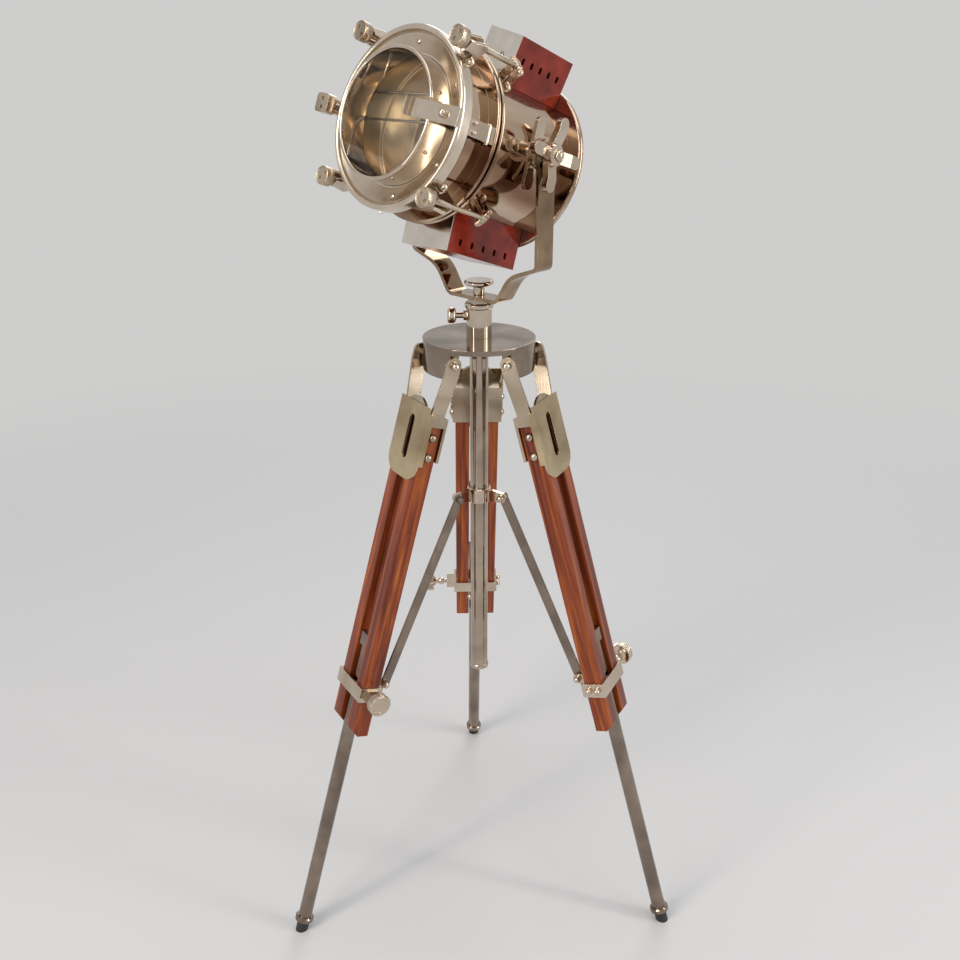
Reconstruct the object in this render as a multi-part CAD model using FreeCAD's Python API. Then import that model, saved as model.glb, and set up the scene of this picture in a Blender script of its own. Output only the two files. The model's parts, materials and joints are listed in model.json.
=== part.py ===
import FreeCAD, Part

import math
import os

# A tabletop searchlight on a folding wooden tripod. Millimetres, +Z up, floor at z = 0.
# Every piece is built round the column axis and then moved by stand_shift, which puts
# the origin under the middle of the whole lamp.

# Where the lamp stands
stand_shift = -42.2          # from the origin to the column axis, along Y

# Tripod head
plate_radius = 47.5
plate_top_z = 550.5
plate_thickness = 4.3
skirt_height = 26.0
skirt_wall = 2.5
lug_half_width = 23.2        # each leg's solid lug under the plate, along its hinge bolt
lug_depth = 14.0             # the same lug, measured in from the plate's rim

# Column, its sleeve and its lock screw
column_radius = 7.9
column_wall = 1.5
column_bottom_z = 229.0
column_cap_height = 4.5
column_cap_lip = 0.7
column_top_plug = 8.0
column_collar_radius = 9.6
sleeve_radius = 10.8
sleeve_height = 29.0
sleeve_spigot = 10.5
sleeve_ring_height = 4.5
sleeve_ring_lip = 1.4
sleeve_screw_drop = 11.0     # from the top of the sleeve to the lock screw's axis
sleeve_screw_radius = 2.5
sleeve_screw_reach = 26.5    # from the column axis to the face of the screw's knob
sleeve_knob_radius = 6.8
sleeve_knob_width = 7.5

# Pan pivot: stud on the column, yoke strap, hand nut
yoke_base_z = 583.0
pan_stud_radius = 3.0
pan_neck_radius = 4.6
pan_neck_height = 8.0
pan_disc_radius = 12.2
pan_disc_height = 4.0

# Legs
leg_azimuths = {"rear": 90.0, "left": 210.0, "right": 330.0}
leg_tilt = 16.4
hinge_radius = 41.0
hinge_drop = 12.5            # from the plate's top face down to the hinge bolt
hinge_bolt_radius = 2.5
hinge_head_radius = 3.4
slat_width = 13.0
slat_depth = 17.0
slat_gap = 14.0
slat_top = 48.4              # distances down the leg are measured from its hinge
slat_bottom = 342.0
slat_round = 1.4
slat_toe = 7.0

# Fork that hangs the leg
fork_arm_width = 13.0
fork_arm_thickness = 2.4
fork_arm_gap = 26.2          # from the leg's middle to the inside of an arm at the hinge
fork_shoulder = 8.0
fork_cap_thickness = 2.4
fork_cheek_bottom = 54.0
fork_inner_plate_bottom = 84.0
fork_tongue_bottom = 92.0
fork_tongue_depth = 12.0
fork_dome_height = 13.0
fork_dome_half = 17.0
leg_bolt_places = (63.0, 80.0)
leg_bolt_radius = 2.0
leg_bolt_head = 3.8

# Slotted shield on the outer face of the leg
shield_thickness = 1.5
shield_top = 38.0
shield_length = 65.0
shield_flange = 5.5
shield_flange_top = 43.0
shield_corner = 15.0
shield_slot_width = 8.0
shield_slot_length = 38.0
shield_slot_middle = 68.0

# Clamp at the lower end of the wood
clamp_place = 300.0
clamp_height = 13.0
clamp_wall = 2.0
clamp_boss_length = 8.0
clamp_boss_side = 10.0
clamp_dome_radius = 3.0
clamp_dome_spacing = 8.0
clamp_screw_radius = 2.5
# from each leg's middle to the middle of its knob: the left one is screwed further in
clamp_knob_places = {"rear": 48.0, "left": 37.5, "right": 48.0}
clamp_knob_radius = 10.0
clamp_knob_width = 8.0
clamp_collar_radius = 3.8
clamp_collar_gap = 12.0      # from the knob's middle back to the collar ball
lug_reach = 24.0             # from the leg's middle in to the brace pin

# Extension tube and foot
tube_radius = 6.3
tube_wall = 1.2
tube_top = 250.0
tube_guide_length = 12.0
foot_collar_radius = 8.6
foot_collar_height = 6.0
foot_collar_place = 545.0
foot_tip_radius = 5.6
foot_spigot_length = 12.0

# Brace hub and braces
hub_pin_z = 407.0
hub_pin_radius = 22.5
hub_radius = 10.3
hub_height = 14.0
lug_thickness = 3.0
lug_end_radius = 4.5
brace_width = 8.5
brace_thickness = 2.0
brace_pin_radius = 2.0
pin_head_radius = 3.3

# Yoke
yoke_azimuth = 224.0
yoke_width = 18.0
yoke_thickness = 3.0
yoke_base_half = 27.0
yoke_arm_gap = 14.0          # from the drum's skin to the middle of an arm
yoke_rise = 32.0
trunnion_z = 701.0

# Trunnions and their hand nuts
trunnion_radius = 4.0
trunnion_stud_length = 14.5  # beyond the outside of the yoke arm
bell_small_radius = 9.0
bell_large_radius = 12.5
cross_blade_width = 9.5
inner_cross_reach = 27.0
inner_cross_thickness = 3.2
tilt_nut_reach = 27.0
tilt_nut_thickness = 5.0
tilt_nut_hub_radius = 7.5
tilt_nut_hub_length = 9.0
tilt_nut_dish = 4.0          # how far the blades stand out from the arm

# Searchlight head, measured along its own axis from the trunnions
head_tilt = 19.0
drum_drop = 2.5              # how far the drum's axis lies below the trunnions
drum_radius = 55.0
drum_wall = 1.5
drum_front = 50.0
drum_back = -43.5
barrel_radius = 57.0
barrel_front = 80.0
flange_radius = 66.8
flange_thickness = 3.0
flange_gap = 2.0             # open groove between the two middle flanges
flange_neck_radius = 61.0
front_flange_reach = 6.0     # how far the barrel's front flange stands out
seat_ring_radius = 52.0
seat_ring_width = 3.0
bezel_radius = 66.0
bezel_depth = 11.0
bezel_bead = 2.4
bezel_bore = 46.9
bezel_inner_depth = 2.4
lens_thickness = 3.4
hood_wall = 1.4
hood_front = 102.0
hood_roll = 1.5
hood_notch_half = 7.2
clip_width = 13.0
clip_thickness = 1.6
clip_outer = 65.5
clip_inner = 13.0
clip_lip = 6.0
clip_skew = 6.4              # the clip isn't quite radial: turned about its screw
clip_rise = 4.0              # and its screw sits above the glass ring's middle
clip_post_radius = 3.0
clip_post_place = 51.0
cover_rim_radius = 67.0
cover_bead = 2.6
cover_depth = 14.0
cover_flat_radius = 34.0
cover_wall = 1.5
cover_spigot = 8.0

# Swing bolts round the bezel, and the hinge that faces them
swing_angles = (46.0, 130.0, 176.0, 219.0, 315.0)
square_nut_angle = 176.0
square_nut_side = 14.0
swing_circle = 76.0
swing_pivot = 34.5
swing_rod_radius = 2.0
swing_eye_radius = 3.3
swing_eye_half = 2.8
swing_pin_radius = 1.5
swing_pin_head = 2.6
swing_ear_thickness = 2.2
swing_ear_reach = 3.0
swing_lug_front = 88.4
swing_lug_thickness = 2.6
swing_lug_reach = 17.0       # from the lug's front face back behind the bezel
swing_lug_waist = 4.5        # how far in from the bolt the nut's seat reaches
swing_lug_foot = 4.6         # width of the strap where it meets the bezel's back
swing_rivet_radius = 2.8
swing_rivet_circle = 61.5
swing_nut_radius = 7.2
swing_nut_neck = 4.0
swing_nut_neck_length = 2.2
swing_nut_width = 7.8
swing_nut_holes = 1.5
swing_nut_cap = 2.0          # metal left in front of the nut's blind bore
hinge_leaf_width = 12.0
hinge_leaf_thickness = 1.8
hinge_pin_radius = 1.9

# Vent boxes above and below the drum
top_vent_roll = 13.4
top_vent_front = 19.0
top_vent_width = 35.0
top_vent_height = 88.0       # from the drum's axis
bottom_vent_front = 36.0
bottom_vent_width = 50.0
bottom_vent_height = 81.5
vent_wall = 1.2
vent_slots = 5
vent_slot_width = 3.0
vent_slot_height = 5.4
top_slot_drop = 16.0         # from a box's outer face in to the middle of its slots
bottom_slot_drop = 8.6
vent_hole_radius = 2.0
vent_hole_drop = 17.0

# Inside the drum
reflector_back = -30.0
reflector_front = 22.0
reflector_neck = 14.0
reflector_wall = 1.0
holder_radius = 12.5
holder_front = -14.0
bulb_radius = 20.0
bulb_neck = 9.0
bulb_middle = 16.0

# Cable gland in the back cover
gland_radius = 6.0
gland_bore = 3.2
gland_length = 15.0
gland_drop = 22.0

# Clearances
slide_fit = 0.08
pin_fit = 0.05
side_play = 0.3
seat_gap = 0.2

# Values worked out from the ones above
hinge_z = plate_top_z - hinge_drop
leg_half = slat_gap / 2 + slat_width
tilt_cos = math.cos(math.radians(leg_tilt))
front_flange_radius = barrel_radius + front_flange_reach
sleeve_top_z = plate_top_z + sleeve_height
sleeve_screw_z = sleeve_top_z - sleeve_screw_drop
yoke_top_z = yoke_base_z + yoke_thickness
yoke_arm_middle = drum_radius + yoke_arm_gap
arm_inner = yoke_arm_middle - yoke_thickness / 2
arm_outer = yoke_arm_middle + yoke_thickness / 2
brace_side = lug_thickness / 2 + side_play
vent_back = drum_back + side_play
swing_tip = swing_lug_front + side_play + swing_nut_neck_length + swing_nut_width
shield_half = leg_half + fork_arm_thickness + seat_gap + shield_thickness

X = FreeCAD.Vector(1, 0, 0)
Y = FreeCAD.Vector(0, 1, 0)
Z = FreeCAD.Vector(0, 0, 1)


def vec(x, y, z):
    return FreeCAD.Vector(x, y, z)


def block(x0, x1, y0, y1, z0, z1):
    return Part.makeBox(x1 - x0, y1 - y0, z1 - z0, vec(x0, y0, z0))


def rod(radius, start, end):
    way = end - start
    return Part.makeCylinder(radius, way.Length, start, way)


def pipe(radius, bore, start, end):
    return rod(radius, start, end).cut(rod(bore, start, end))


def ball(radius, middle):
    return Part.makeSphere(radius, middle)


def turned(shape, axis, degrees):
    out = shape.copy()
    out.rotate(vec(0, 0, 0), axis, degrees)
    return out


def moved(shape, x, y, z):
    out = shape.copy()
    out.translate(vec(x, y, z))
    return out


def joined(*pieces):
    out = pieces[0]
    for piece in pieces[1:]:
        out = out.fuse(piece)
    return out.removeSplitter()


def outline(steps, place):
    """A closed face. A step is a point, or a pair (point on the arc, end of the arc)."""
    edges = []
    here = steps[0]
    for step in steps[1:] + [steps[0]]:
        if isinstance(step[0], tuple):
            middle, end = step
            edges.append(Part.Arc(place(here), place(middle), place(end)).toShape())
            here = end
        elif step != here:
            edges.append(Part.LineSegment(place(here), place(step)).toShape())
            here = step
    return Part.Face(Part.Wire(edges))


def lathe_x(steps):
    """Turn a profile of (along, radius) points about the X axis."""
    return outline(steps, lambda p: vec(p[0], 0, p[1])).revolve(vec(0, 0, 0), X, 360)


def lathe_y(steps):
    return outline(steps, lambda p: vec(0, p[0], p[1])).revolve(vec(0, 0, 0), Y, 360)


def lathe_z(steps):
    return outline(steps, lambda p: vec(p[1], 0, p[0])).revolve(vec(0, 0, 0), Z, 360)


def slab_x(steps, x0, x1):
    """Extrude an outline of (y, z) points from x0 to x1."""
    return outline(steps, lambda p: vec(x0, p[0], p[1])).extrude(vec(x1 - x0, 0, 0))


def slab_y(steps, y0, y1):
    """Extrude an outline of (x, z) points from y0 to y1."""
    return outline(steps, lambda p: vec(p[0], y0, p[1])).extrude(vec(0, y1 - y0, 0))


def on_leg(shape, azimuth):
    """From the leg's own frame (hinge at the origin, leg hanging down, X outward)."""
    out = turned(shape, Y, -leg_tilt)
    out = moved(out, hinge_radius, 0, hinge_z)
    return turned(out, Z, azimuth)


def on_yoke(shape):
    return turned(shape, Z, yoke_azimuth)


def on_trunnions(shape):
    """From the trunnions' frame (their axis on Y, light along X) to the lamp's."""
    out = turned(shape, Y, -head_tilt)
    out = moved(out, 0, 0, trunnion_z)
    return on_yoke(out)


def on_head(shape):
    """From the drum's frame, whose axis lies a little below the trunnions, to the lamp's."""
    return on_trunnions(moved(shape, 0, 0, -drum_drop))


def dome(radius, base, side):
    """A round bolt head on the plane y = base, facing side (+1 or -1)."""
    sink = radius * 0.45
    foot = math.sqrt(radius ** 2 - sink ** 2)
    top = base + side * (sink + radius)
    return lathe_y([(base, 0), (base, foot), ((base + side * sink, radius), (top, 0))])


def knurled_disc(radius, width, notches):
    """A hand knob's disc along Y from 0 to width, with a scalloped edge."""
    edge = width * 0.16
    disc = lathe_y([(0, 0), (0, radius - edge), (edge, radius), (width - edge, radius),
                    (width, radius - edge), (width, 0)])
    notch_radius = math.pi * radius / notches * 0.36
    for i in range(notches):
        angle = 2 * math.pi * i / notches
        x = radius * math.cos(angle)
        z = radius * math.sin(angle)
        disc = disc.cut(rod(notch_radius, vec(x, -1, z), vec(x, width + 1, z)))
    return disc


# Tripod head

def top_plate():
    rim = rod(plate_radius, vec(0, 0, -skirt_height), vec(0, 0, 0))
    inside = rod(plate_radius - skirt_wall, vec(0, 0, -skirt_height), vec(0, 0, -plate_thickness))
    shell = rim.cut(inside)
    lug_inner = plate_radius - lug_depth
    lugs = []
    for azimuth in leg_azimuths.values():
        lug = block(lug_inner, plate_radius, -lug_half_width, lug_half_width,
                    -skirt_height, -plate_thickness)
        lugs.append(turned(lug.common(rim), Z, azimuth))
    keep = rod(plate_radius, vec(0, 0, -plate_thickness), vec(0, 0, 0))
    for azimuth in leg_azimuths.values():
        arch_half = lug_half_width
        wedge = block(0, plate_radius, -arch_half, arch_half, -skirt_height, -plate_thickness)
        keep = keep.fuse(turned(wedge, Z, azimuth))
    plate = joined(shell.common(keep), *lugs)
    for azimuth in leg_azimuths.values():
        bolt = rod(hinge_bolt_radius + pin_fit, vec(hinge_radius, -plate_radius, -hinge_drop),
                   vec(hinge_radius, plate_radius, -hinge_drop))
        plate = plate.cut(turned(bolt, Z, azimuth))
    plate = plate.cut(rod(sleeve_radius - sleeve_ring_lip + pin_fit, vec(0, 0, -skirt_height), vec(0, 0, 1)))
    return moved(plate, 0, 0, plate_top_z)


def hinge_bolts():
    bolts = []
    arm_out = fork_arm_gap + fork_arm_thickness + side_play
    for azimuth in leg_azimuths.values():
        bolt = rod(hinge_bolt_radius, vec(0, -arm_out, 0), vec(0, arm_out, 0))
        head = hinge_head_radius
        bolt = joined(bolt, dome(head, arm_out, 1), dome(head, -arm_out, -1))
        bolts.append(turned(moved(bolt, hinge_radius, 0, hinge_z), Z, azimuth))
    return Part.makeCompound(bolts)


def column_sleeve():
    bore = column_radius + slide_fit
    ring_bottom = sleeve_height - sleeve_ring_height
    ring = sleeve_radius + sleeve_ring_lip
    round_off = 0.9
    spigot = sleeve_radius - sleeve_ring_lip
    body = lathe_z([(-sleeve_spigot, bore), (-sleeve_spigot, spigot), (0, spigot), (0, sleeve_radius),
                    (ring_bottom, sleeve_radius), (ring_bottom, ring - round_off),
                    (ring_bottom + round_off, ring), (sleeve_height - round_off, ring),
                    (sleeve_height, ring - round_off), (sleeve_height, bore)])
    body = moved(body, 0, 0, plate_top_z)
    boss = rod(sleeve_screw_radius + 1.8, vec(-sleeve_radius - 2.2, 0, sleeve_screw_z),
               vec(-column_radius - 1, 0, sleeve_screw_z))
    hole = rod(sleeve_screw_radius + pin_fit, vec(-sleeve_screw_reach, 0, sleeve_screw_z),
               vec(0, 0, sleeve_screw_z))
    bored = rod(bore, vec(0, 0, plate_top_z), vec(0, 0, sleeve_top_z))
    return joined(body, boss).cut(hole).cut(bored)


def sleeve_screw():
    tip = column_radius + side_play
    knob_back = sleeve_screw_reach - sleeve_knob_width
    shaft = rod(sleeve_screw_radius, vec(-knob_back, 0, 0), vec(-tip, 0, 0))
    waist = sleeve_knob_radius * 0.62
    full = sleeve_knob_radius
    face = -sleeve_screw_reach
    knob = lathe_x([(face, 0), (face, waist), ((face + 1.0, full * 0.9), (face + 2.2, full)),
                    (-knob_back - 2.0, full), ((-knob_back - 0.8, full * 0.88), (-knob_back, waist)),
                    (-knob_back, 0)])
    return moved(joined(shaft, knob), 0, 0, sleeve_screw_z)


# Column and pan pivot

def column():
    bore = column_radius - column_wall
    cap = column_radius + column_cap_lip
    cap_bottom = column_bottom_z - column_cap_height + 1.5
    round_off = 0.8
    top = yoke_base_z
    collar = sleeve_top_z + seat_gap
    stud_top = yoke_top_z + pan_neck_height - 1.0
    return lathe_z([(cap_bottom, 0), (cap_bottom, cap - round_off), (cap_bottom + round_off, cap),
                    (cap_bottom + column_cap_height - round_off, cap),
                    (cap_bottom + column_cap_height, column_radius),
                    (collar, column_radius), (collar, column_collar_radius),
                    (top, column_collar_radius), (top, pan_stud_radius),
                    (stud_top, pan_stud_radius), (stud_top, 0),
                    (top - column_top_plug, 0), (top - column_top_plug, bore),
                    (cap_bottom + column_cap_height, bore), (cap_bottom + column_cap_height, 0)])


def pan_knob():
    bottom = yoke_top_z + side_play
    disc_bottom = yoke_top_z + pan_neck_height
    top = disc_bottom + pan_disc_height
    bore_top = disc_bottom - 1.0 + side_play
    bore = pan_stud_radius + pin_fit
    edge = 1.0
    return lathe_z([(bottom, bore), (bottom, pan_neck_radius),
                    (disc_bottom - 2.0, pan_neck_radius),
                    ((disc_bottom - 0.6, pan_neck_radius + 0.8), (disc_bottom, pan_neck_radius + 2.4)),
                    (disc_bottom + 0.4, pan_disc_radius - edge), (disc_bottom + 1.4, pan_disc_radius),
                    (top - edge, pan_disc_radius), (top, pan_disc_radius - edge),
                    (top, 0), (bore_top, 0), (bore_top, bore)])


# Legs, in the leg's own frame

def leg_slats():
    slats = []
    half_depth = slat_depth / 2
    for side in (1, -1):
        inner = side * slat_gap / 2
        outer = side * leg_half
        slat = block(-half_depth, half_depth, min(inner, outer), max(inner, outer),
                     -slat_bottom, -slat_top)
        long_edges = [e for e in slat.Edges if abs(e.tangentAt(e.FirstParameter).z) > 0.9]
        slat = slat.makeFillet(slat_round, long_edges)
        toe = slab_y([(half_depth + 1, -slat_bottom - 1), (half_depth + 1, -slat_bottom + slat_toe),
                      (half_depth - slat_toe, -slat_bottom - 1)], -leg_half - 1, leg_half + 1)
        slat = slat.cut(toe)
        for place in leg_bolt_places:
            slat = slat.cut(rod(leg_bolt_radius + pin_fit, vec(0, -leg_half - 1, -place),
                                vec(0, leg_half + 1, -place)))
        if side > 0:
            slat = slat.cut(rod(clamp_screw_radius + side_play, vec(0, 0, -clamp_place),
                                vec(0, leg_half + 1, -clamp_place)))
        slats.append(slat)
    return Part.makeCompound(slats)


def fork_arm(side):
    inner = fork_arm_gap
    outer = fork_arm_gap + fork_arm_thickness
    low_in = leg_half
    low_out = leg_half + fork_arm_thickness
    half = fork_arm_width / 2
    bend = slat_top - 6.0
    points = [(inner, half), (outer, half), (outer, -fork_shoulder), (low_out, -bend),
              (low_out, -fork_cheek_bottom), (low_in, -fork_cheek_bottom), (low_in, -bend),
              (inner, -fork_shoulder)]
    arm = slab_x([(side * y, z) for y, z in points], -half, half)
    shape = joined(rod(half, vec(0, -50, 0), vec(0, 50, 0)),
                   block(-half, half, -50, 50, -fork_cheek_bottom - 1, 0))
    return arm.common(shape)


def leg_fork():
    half_depth = slat_depth / 2
    outer_y = leg_half + fork_arm_thickness
    cap_top = -slat_top + fork_cap_thickness
    pieces = [fork_arm(1), fork_arm(-1)]
    pieces.append(block(-half_depth - fork_cap_thickness, half_depth, -outer_y, outer_y, -slat_top, cap_top))
    for side in (1, -1):
        y0 = side * leg_half
        y1 = side * outer_y
        pieces.append(block(-half_depth, half_depth, min(y0, y1), max(y0, y1),
                            -fork_cheek_bottom, cap_top))
    pieces.append(block(-half_depth - fork_cap_thickness, -half_depth, -outer_y, outer_y,
                        -fork_inner_plate_bottom, cap_top))
    pieces.append(block(-fork_tongue_depth / 2, fork_tongue_depth / 2, -slat_gap / 2, slat_gap / 2,
                        -fork_tongue_bottom, -slat_top))
    dome_face = half_depth - fork_cap_thickness
    rise = cap_top + fork_dome_height
    pieces.append(slab_x([(-fork_dome_half, cap_top - 1), (fork_dome_half, cap_top - 1),
                          (fork_dome_half, cap_top + 2), ((0, rise), (-fork_dome_half, cap_top + 2))],
                         dome_face, half_depth))
    fork = joined(*pieces)
    fork = fork.cut(rod(hinge_bolt_radius + pin_fit, vec(0, -50, 0), vec(0, 50, 0)))
    for place in leg_bolt_places:
        fork = fork.cut(rod(leg_bolt_radius + pin_fit, vec(0, -50, -place), vec(0, 50, -place)))
    bolts = []
    for place in leg_bolt_places:
        bolt = rod(leg_bolt_radius, vec(0, -leg_half, 0), vec(0, leg_half, 0))
        bolt = joined(bolt, dome(leg_bolt_head, leg_half, 1), dome(leg_bolt_head, -leg_half, -1))
        bolts.append(moved(bolt, 0, 0, -place))
    return Part.makeCompound([fork] + bolts)


def leg_shield():
    face = slat_depth / 2
    front = face + shield_thickness
    half = shield_half
    top = -shield_top
    bottom = -shield_top - shield_length
    corner = shield_corner
    dip = corner * (1 - math.sqrt(0.5))
    plate = slab_x([(-half, top), (-half, bottom + corner),
                    ((-half + dip, bottom + dip), (-half + corner, bottom)),
                    (half - corner, bottom),
                    ((half - dip, bottom + dip), (half, bottom + corner)), (half, top)],
                   face, front)
    pieces = [plate]
    for side in (1, -1):
        y0 = side * (half - shield_thickness)
        y1 = side * half
        pieces.append(block(front - shield_flange, front, min(y0, y1), max(y0, y1),
                            bottom + corner, -shield_flange_top))
    reach = (shield_slot_length - shield_slot_width) / 2
    radius = shield_slot_width / 2
    middle = -shield_slot_middle
    slot = joined(block(face - 1, front + 1, -radius, radius, middle - reach, middle + reach),
                  rod(radius, vec(face - 1, 0, middle - reach), vec(front + 1, 0, middle - reach)),
                  rod(radius, vec(face - 1, 0, middle + reach), vec(front + 1, 0, middle + reach)))
    return joined(*pieces).cut(slot)


def pivot_lug(reach, root, thickness):
    """A lug along -X whose round end is centred on (-reach, 0)."""
    half = thickness / 2
    arm = block(-reach, -root, -half, half, -lug_end_radius, lug_end_radius)
    return joined(arm, rod(lug_end_radius, vec(-reach, -half, 0), vec(-reach, half, 0)))


def brace_pin():
    """The pin beside a lug, its brace side at +Y, with a head on each side."""
    outside = brace_side + brace_thickness + side_play
    pin = rod(brace_pin_radius, vec(0, 0, 0), vec(0, outside, 0))
    return joined(pin, dome(pin_head_radius, outside, 1), dome(pin_head_radius, -lug_thickness / 2, -1))


def leg_clamp():
    half_x = slat_depth / 2 + seat_gap
    half_y = leg_half + seat_gap
    half_z = clamp_height / 2
    wall = clamp_wall
    outer = block(-half_x - wall, half_x + wall, -half_y - wall, half_y + wall, -half_z, half_z)
    strap = outer.cut(block(-half_x, half_x, -half_y, half_y, -half_z, half_z))
    side = clamp_boss_side / 2
    boss = block(-side, side, half_y + wall / 2, half_y + wall + clamp_boss_length, -side, side)
    lug = pivot_lug(lug_reach, half_x + wall / 2, lug_thickness)
    pin = moved(brace_pin(), -lug_reach, 0, 0)
    strap = joined(strap, boss, lug, pin)
    for step in (-0.5, 0.5):
        rivet = dome(clamp_dome_radius, -half_y - wall, -1)
        strap = strap.fuse(moved(rivet, step * clamp_dome_spacing, 0, 0))
    hole = rod(clamp_screw_radius + pin_fit, vec(0, 0, 0),
               vec(0, half_y + wall + clamp_boss_length + 1, 0))
    return moved(strap.cut(hole), 0, 0, -clamp_place)


def clamp_knob(place):
    tip = tube_radius + side_play
    face = place - clamp_knob_width / 2
    shaft = rod(clamp_screw_radius, vec(0, tip, 0), vec(0, face + 1, 0))
    disc = moved(knurled_disc(clamp_knob_radius, clamp_knob_width, 14), 0, face, 0)
    neck = lathe_y([(face - 2.5, 0), (face - 2.5, clamp_screw_radius + 1),
                    (face, clamp_screw_radius + 3), (face, 0)])
    knob = joined(shaft, neck, disc)
    collar = place - clamp_collar_gap
    if collar > leg_half + clamp_wall + clamp_boss_length + clamp_collar_radius:
        knob = joined(knob, ball(clamp_collar_radius, vec(0, collar, 0)))
    return moved(knob, 0, 0, -clamp_place)


def leg_tube():
    bore = tube_radius - tube_wall
    collar_top = foot_collar_place
    collar_bottom = foot_collar_place + foot_collar_height
    edge = 1.4
    tube = pipe(tube_radius, bore, vec(0, 0, -collar_bottom), vec(0, 0, -tube_top))
    guide_half = slat_gap / 2 - side_play
    guide = block(-guide_half, guide_half, -guide_half, guide_half, -tube_top - tube_guide_length, -tube_top)
    collar = lathe_z([(-collar_bottom, bore), (-collar_bottom, foot_collar_radius - edge),
                      (-collar_bottom + edge, foot_collar_radius), (-collar_top - edge, foot_collar_radius),
                      (-collar_top, foot_collar_radius - edge), (-collar_top, bore)])
    return joined(tube, guide, collar)


def floor_drop():
    """How far down the leg's own line the floor lies."""
    return hinge_z / tilt_cos


def leg_foot():
    collar_bottom = foot_collar_place + foot_collar_height
    low = floor_drop() + foot_tip_radius * 2
    spigot = tube_radius - tube_wall - pin_fit
    return lathe_z([(-low, 0), (-low, foot_tip_radius), (-collar_bottom, foot_tip_radius),
                    (-collar_bottom, spigot), (-collar_bottom + foot_spigot_length, spigot),
                    (-collar_bottom + foot_spigot_length, 0)])


def cut_at_floor(shape):
    size = 600
    return shape.cut(block(-size, size, -size, size, -size, 0))


# Brace hub and braces, radius and height in the leg's upright plane

def lug_point(fold=0.0):
    """Radius and height of a leg's brace pin, with the leg folded in by so many degrees."""
    angle = math.radians(leg_tilt - fold)
    radius = hinge_radius + clamp_place * math.sin(angle) - lug_reach * math.cos(angle)
    height = hinge_z - clamp_place * math.cos(angle) - lug_reach * math.sin(angle)
    return radius, height


def brace_hub():
    half = hub_height / 2
    bore = column_radius + slide_fit
    edge = 0.8
    hub = lathe_z([(-half, bore), (-half, hub_radius - edge), (-half + edge, hub_radius),
                   (half - edge, hub_radius), (half, hub_radius - edge), (half, bore)])
    for azimuth in leg_azimuths.values():
        web = slab_y([(hub_radius - 1, half - 1), (hub_pin_radius, lug_end_radius),
                      (hub_pin_radius, -lug_end_radius), (hub_radius - 1, -half + 1)],
                     -lug_thickness / 2, lug_thickness / 2)
        cap = moved(dome(pin_head_radius, -lug_thickness / 2, -1), hub_pin_radius, 0, 0)
        hub = joined(hub, turned(joined(hub_lug(), web, cap), Z, azimuth))
    return moved(hub, 0, 0, hub_pin_z)


def hub_lug():
    half = lug_thickness / 2
    arm = block(hub_radius - 1, hub_pin_radius, -half, half, -lug_end_radius, lug_end_radius)
    end = rod(lug_end_radius, vec(hub_pin_radius, -half, 0), vec(hub_pin_radius, half, 0))
    return joined(arm, end)


def brace():
    radius, height = lug_point()
    rise = hub_pin_z - height
    run = hub_pin_radius - radius
    length = math.hypot(rise, run)
    half = brace_width / 2
    y0 = brace_side
    y1 = brace_side + brace_thickness
    strip = joined(block(0, length, y0, y1, -half, half),
                   rod(half, vec(0, y0, 0), vec(0, y1, 0)),
                   rod(half, vec(length, y0, 0), vec(length, y1, 0)))
    strip = strip.cut(rod(brace_pin_radius + pin_fit, vec(0, 0, 0), vec(0, 20, 0)))
    strip = joined(strip, moved(dome(pin_head_radius, y1, 1), length, 0, 0))
    strip = turned(strip, Y, -math.degrees(math.atan2(rise, run)))
    return moved(strip, radius, 0, height)


# Yoke

def rounded_path(points, radii, place):
    """A wire through the points, with a tangent arc at each inner one."""
    edges = []
    here = place(points[0])
    for before, corner, after, radius in zip(points, points[1:], points[2:], radii):
        p = place(corner)
        back = (place(before) - p).normalize()
        ahead = (place(after) - p).normalize()
        half_angle = back.getAngle(ahead) / 2
        cut = radius / math.tan(half_angle)
        centre = p + (back + ahead).normalize() * (radius / math.sin(half_angle))
        start = p + back * cut
        end = p + ahead * cut
        middle = centre + (p - centre).normalize() * radius
        edges.append(Part.LineSegment(here, start).toShape())
        edges.append(Part.Arc(start, middle, end).toShape())
        here = end
    edges.append(Part.LineSegment(here, place(points[-1])).toShape())
    return Part.Wire(edges)


def yoke_strap():
    half_width = yoke_width / 2
    base = yoke_base_z + yoke_thickness / 2
    top = trunnion_z + half_width
    corner_z = base + yoke_rise
    span = yoke_arm_middle - yoke_base_half
    side = [(yoke_base_half, base), (yoke_base_half + span * 0.34, base + yoke_rise * 0.70),
            (yoke_arm_middle, corner_z), (yoke_arm_middle, top)]
    right = [(y, z) for y, z in side]
    left = [(-y, z) for y, z in reversed(side)]
    bends = [4.5, 26.0, 8.0]
    path = rounded_path(left + right, bends + bends[::-1], lambda p: vec(0, p[0], p[1]))
    start = left[0]
    t = yoke_thickness / 2
    profile = Part.Wire(Part.makePolygon([vec(-half_width, start[0] - t, start[1]),
                                          vec(half_width, start[0] - t, start[1]),
                                          vec(half_width, start[0] + t, start[1]),
                                          vec(-half_width, start[0] + t, start[1]),
                                          vec(-half_width, start[0] - t, start[1])]))
    strap = path.makePipeShell([profile], True, False)
    far = yoke_arm_middle * 2
    ends = joined(rod(half_width, vec(0, -far, trunnion_z), vec(0, far, trunnion_z)),
                  block(-half_width, half_width, -far, far, 0, trunnion_z))
    strap = strap.common(ends)
    strap = strap.cut(rod(trunnion_radius + pin_fit, vec(0, -far, trunnion_z), vec(0, far, trunnion_z)))
    strap = strap.cut(rod(pan_stud_radius + pin_fit, vec(0, 0, 0), vec(0, 0, yoke_top_z + 1)))
    return on_yoke(strap)


# Trunnions and hand nuts, in the head's frame

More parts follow.
